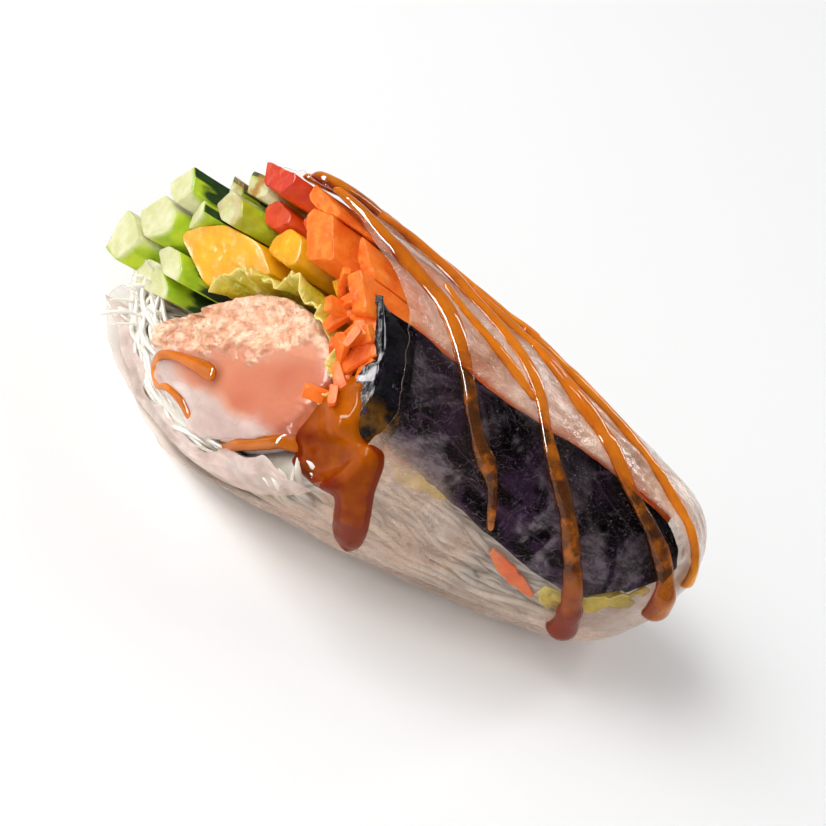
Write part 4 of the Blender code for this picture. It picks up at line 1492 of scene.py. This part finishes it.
VIEW_AZIMUTH = 81.5
VIEW_ELEVATION = 35.0
VIEW_ROLL = 32.35
VIEW_DISTANCE = 0.3804
VIEW_TARGET = Vector((-0.0020, 0.0008, 0.0190))
LENS = 116
FLOOR_HALF = 4.0
FLOOR_LEVEL = -0.0002


def make_stage():
    """A pale floor and an even white surround."""
    mesh = bpy.data.meshes.new("floor")
    corners = [(x * FLOOR_HALF, y * FLOOR_HALF, FLOOR_LEVEL) for x, y in ((-1, -1), (1, -1), (1, 1), (-1, 1))]
    mesh.from_pydata(corners, [], [(0, 1, 2, 3)])
    paint = Paint("pale_floor", Roughness=0.7)
    paint.colour((0.93, 0.93, 0.93, 1))
    mesh.materials.append(paint.material)
    floor = link("floor", mesh)
    world = bpy.data.worlds.new("studio")
    world.use_nodes = True
    background = world.node_tree.nodes["Background"]
    background.inputs["Color"].default_value = (1, 1, 1, 1)
    background.inputs["Strength"].default_value = 0.24
    bpy.context.scene.world = world
    bpy.context.scene.view_settings.view_transform = "Standard"


def turned(right, back):
    """The turn of a camera that looks against back, with its width nearest to right."""
    right = (right - back * right.dot(back)).normalized()
    return Matrix((right, back.cross(right), back)).transposed()


def view_axes():
    """Right, up and back of the photo's view."""
    a, e, r = (math.radians(v) for v in (VIEW_AZIMUTH, VIEW_ELEVATION, VIEW_ROLL))
    back = Vector((math.sin(a) * math.cos(e), -math.cos(a) * math.cos(e), math.sin(e)))
    level = Vector((math.cos(a), math.sin(a), 0))
    up = back.cross(level)
    right = level * math.cos(r) + up * math.sin(r)
    return right, up * math.cos(r) - level * math.sin(r), back


def make_camera():
    """The photo's view: its eye in line with the middle of the cut, turned to the whole roll."""
    right, _, back = view_axes()
    camera = bpy.data.cameras.new("camera")
    camera.lens = LENS
    camera.sensor_width = 36
    camera.clip_start = 0.01
    obj = link("camera", camera)
    eye = Vector(CUT_POINT) + back * VIEW_DISTANCE
    turn = turned(right, (eye - VIEW_TARGET).normalized())
    obj.matrix_world = Matrix.Translation(eye) @ turn.to_4x4()
    bpy.context.scene.camera = obj


def add_light(name, offset, size, power, shine=True, glow=True, along=None):
    """A rectangular lamp that far from the roll's middle and turned to it, its power in watts.

    It shows in reflections if shine, and lights matt surfaces if glow.
    """
    target = Vector((0, 0, DROP))
    at = target + offset
    lamp = bpy.data.lights.new(name, "AREA")
    lamp.shape = "RECTANGLE"
    lamp.size, lamp.size_y = size
    lamp.energy = power
    obj = link(name, lamp)
    obj.location = at
    obj.rotation_euler = (target - at).to_track_quat("-Z", "Y").to_euler()
    if along is not None:
        back = (at - target).normalized()
        side = along.cross(back).normalized()
        obj.rotation_euler = Matrix((side, back.cross(side), back)).transposed().to_euler()
    obj.visible_glossy = shine
    obj.visible_diffuse = glow


def make_lights():
    """Lamps placed from the photo's view, so that the shine falls where it does there."""
    right, up, back = view_axes()
    main = (back * 0.69 + up * 0.58 - right * 0.41) * 0.8
    add_light("strip", main, (0.20, 1.4), 44.0, glow=False, along=up * 0.78 + right * 0.475 - back * 0.39)
    add_light("key", main, (0.3, 0.8), 1.9, shine=False)
    add_light("soft", (up * 0.8 + back * 0.35 - right * 0.25) * 0.9, (0.6, 0.6), 4.4, shine=False)
    add_light("fill", (back * 0.9 + right * 0.3 - up * 0.2) * 0.9, (0.7, 0.7), 2.0, shine=False)
    add_light("side", Vector((0.05, -0.75, 0.10)), (0.12, 0.4), 0.35)
    add_light("rim", (up * 0.5 + right * 0.9 - back * 0.3) * 0.8, (0.06, 0.7), 2.0)


make_sticks()
make_carrot_shreds()
make_salmon()
make_dark_leaf()
make_leaf_fold()
make_lettuce()
make_patch_leaf("lettuce_2", "lettuce", 60, 60, 0.5 * MM, 0.3 * MM)
make_patch_leaf("carrot_11", "carrot", 24, 50, 0.08 * MM, 0.6 * MM)
make_lettuce_sliver()
make_noodle_core()
make_noodle_strands()
make_noodle_ends()
film = make_film()
make_film_rim()
make_film_lip()
flap = make_flap()
make_strands(tree_of([film]))
make_face_sauce(flap)
make_stage()
make_lights()
make_camera()
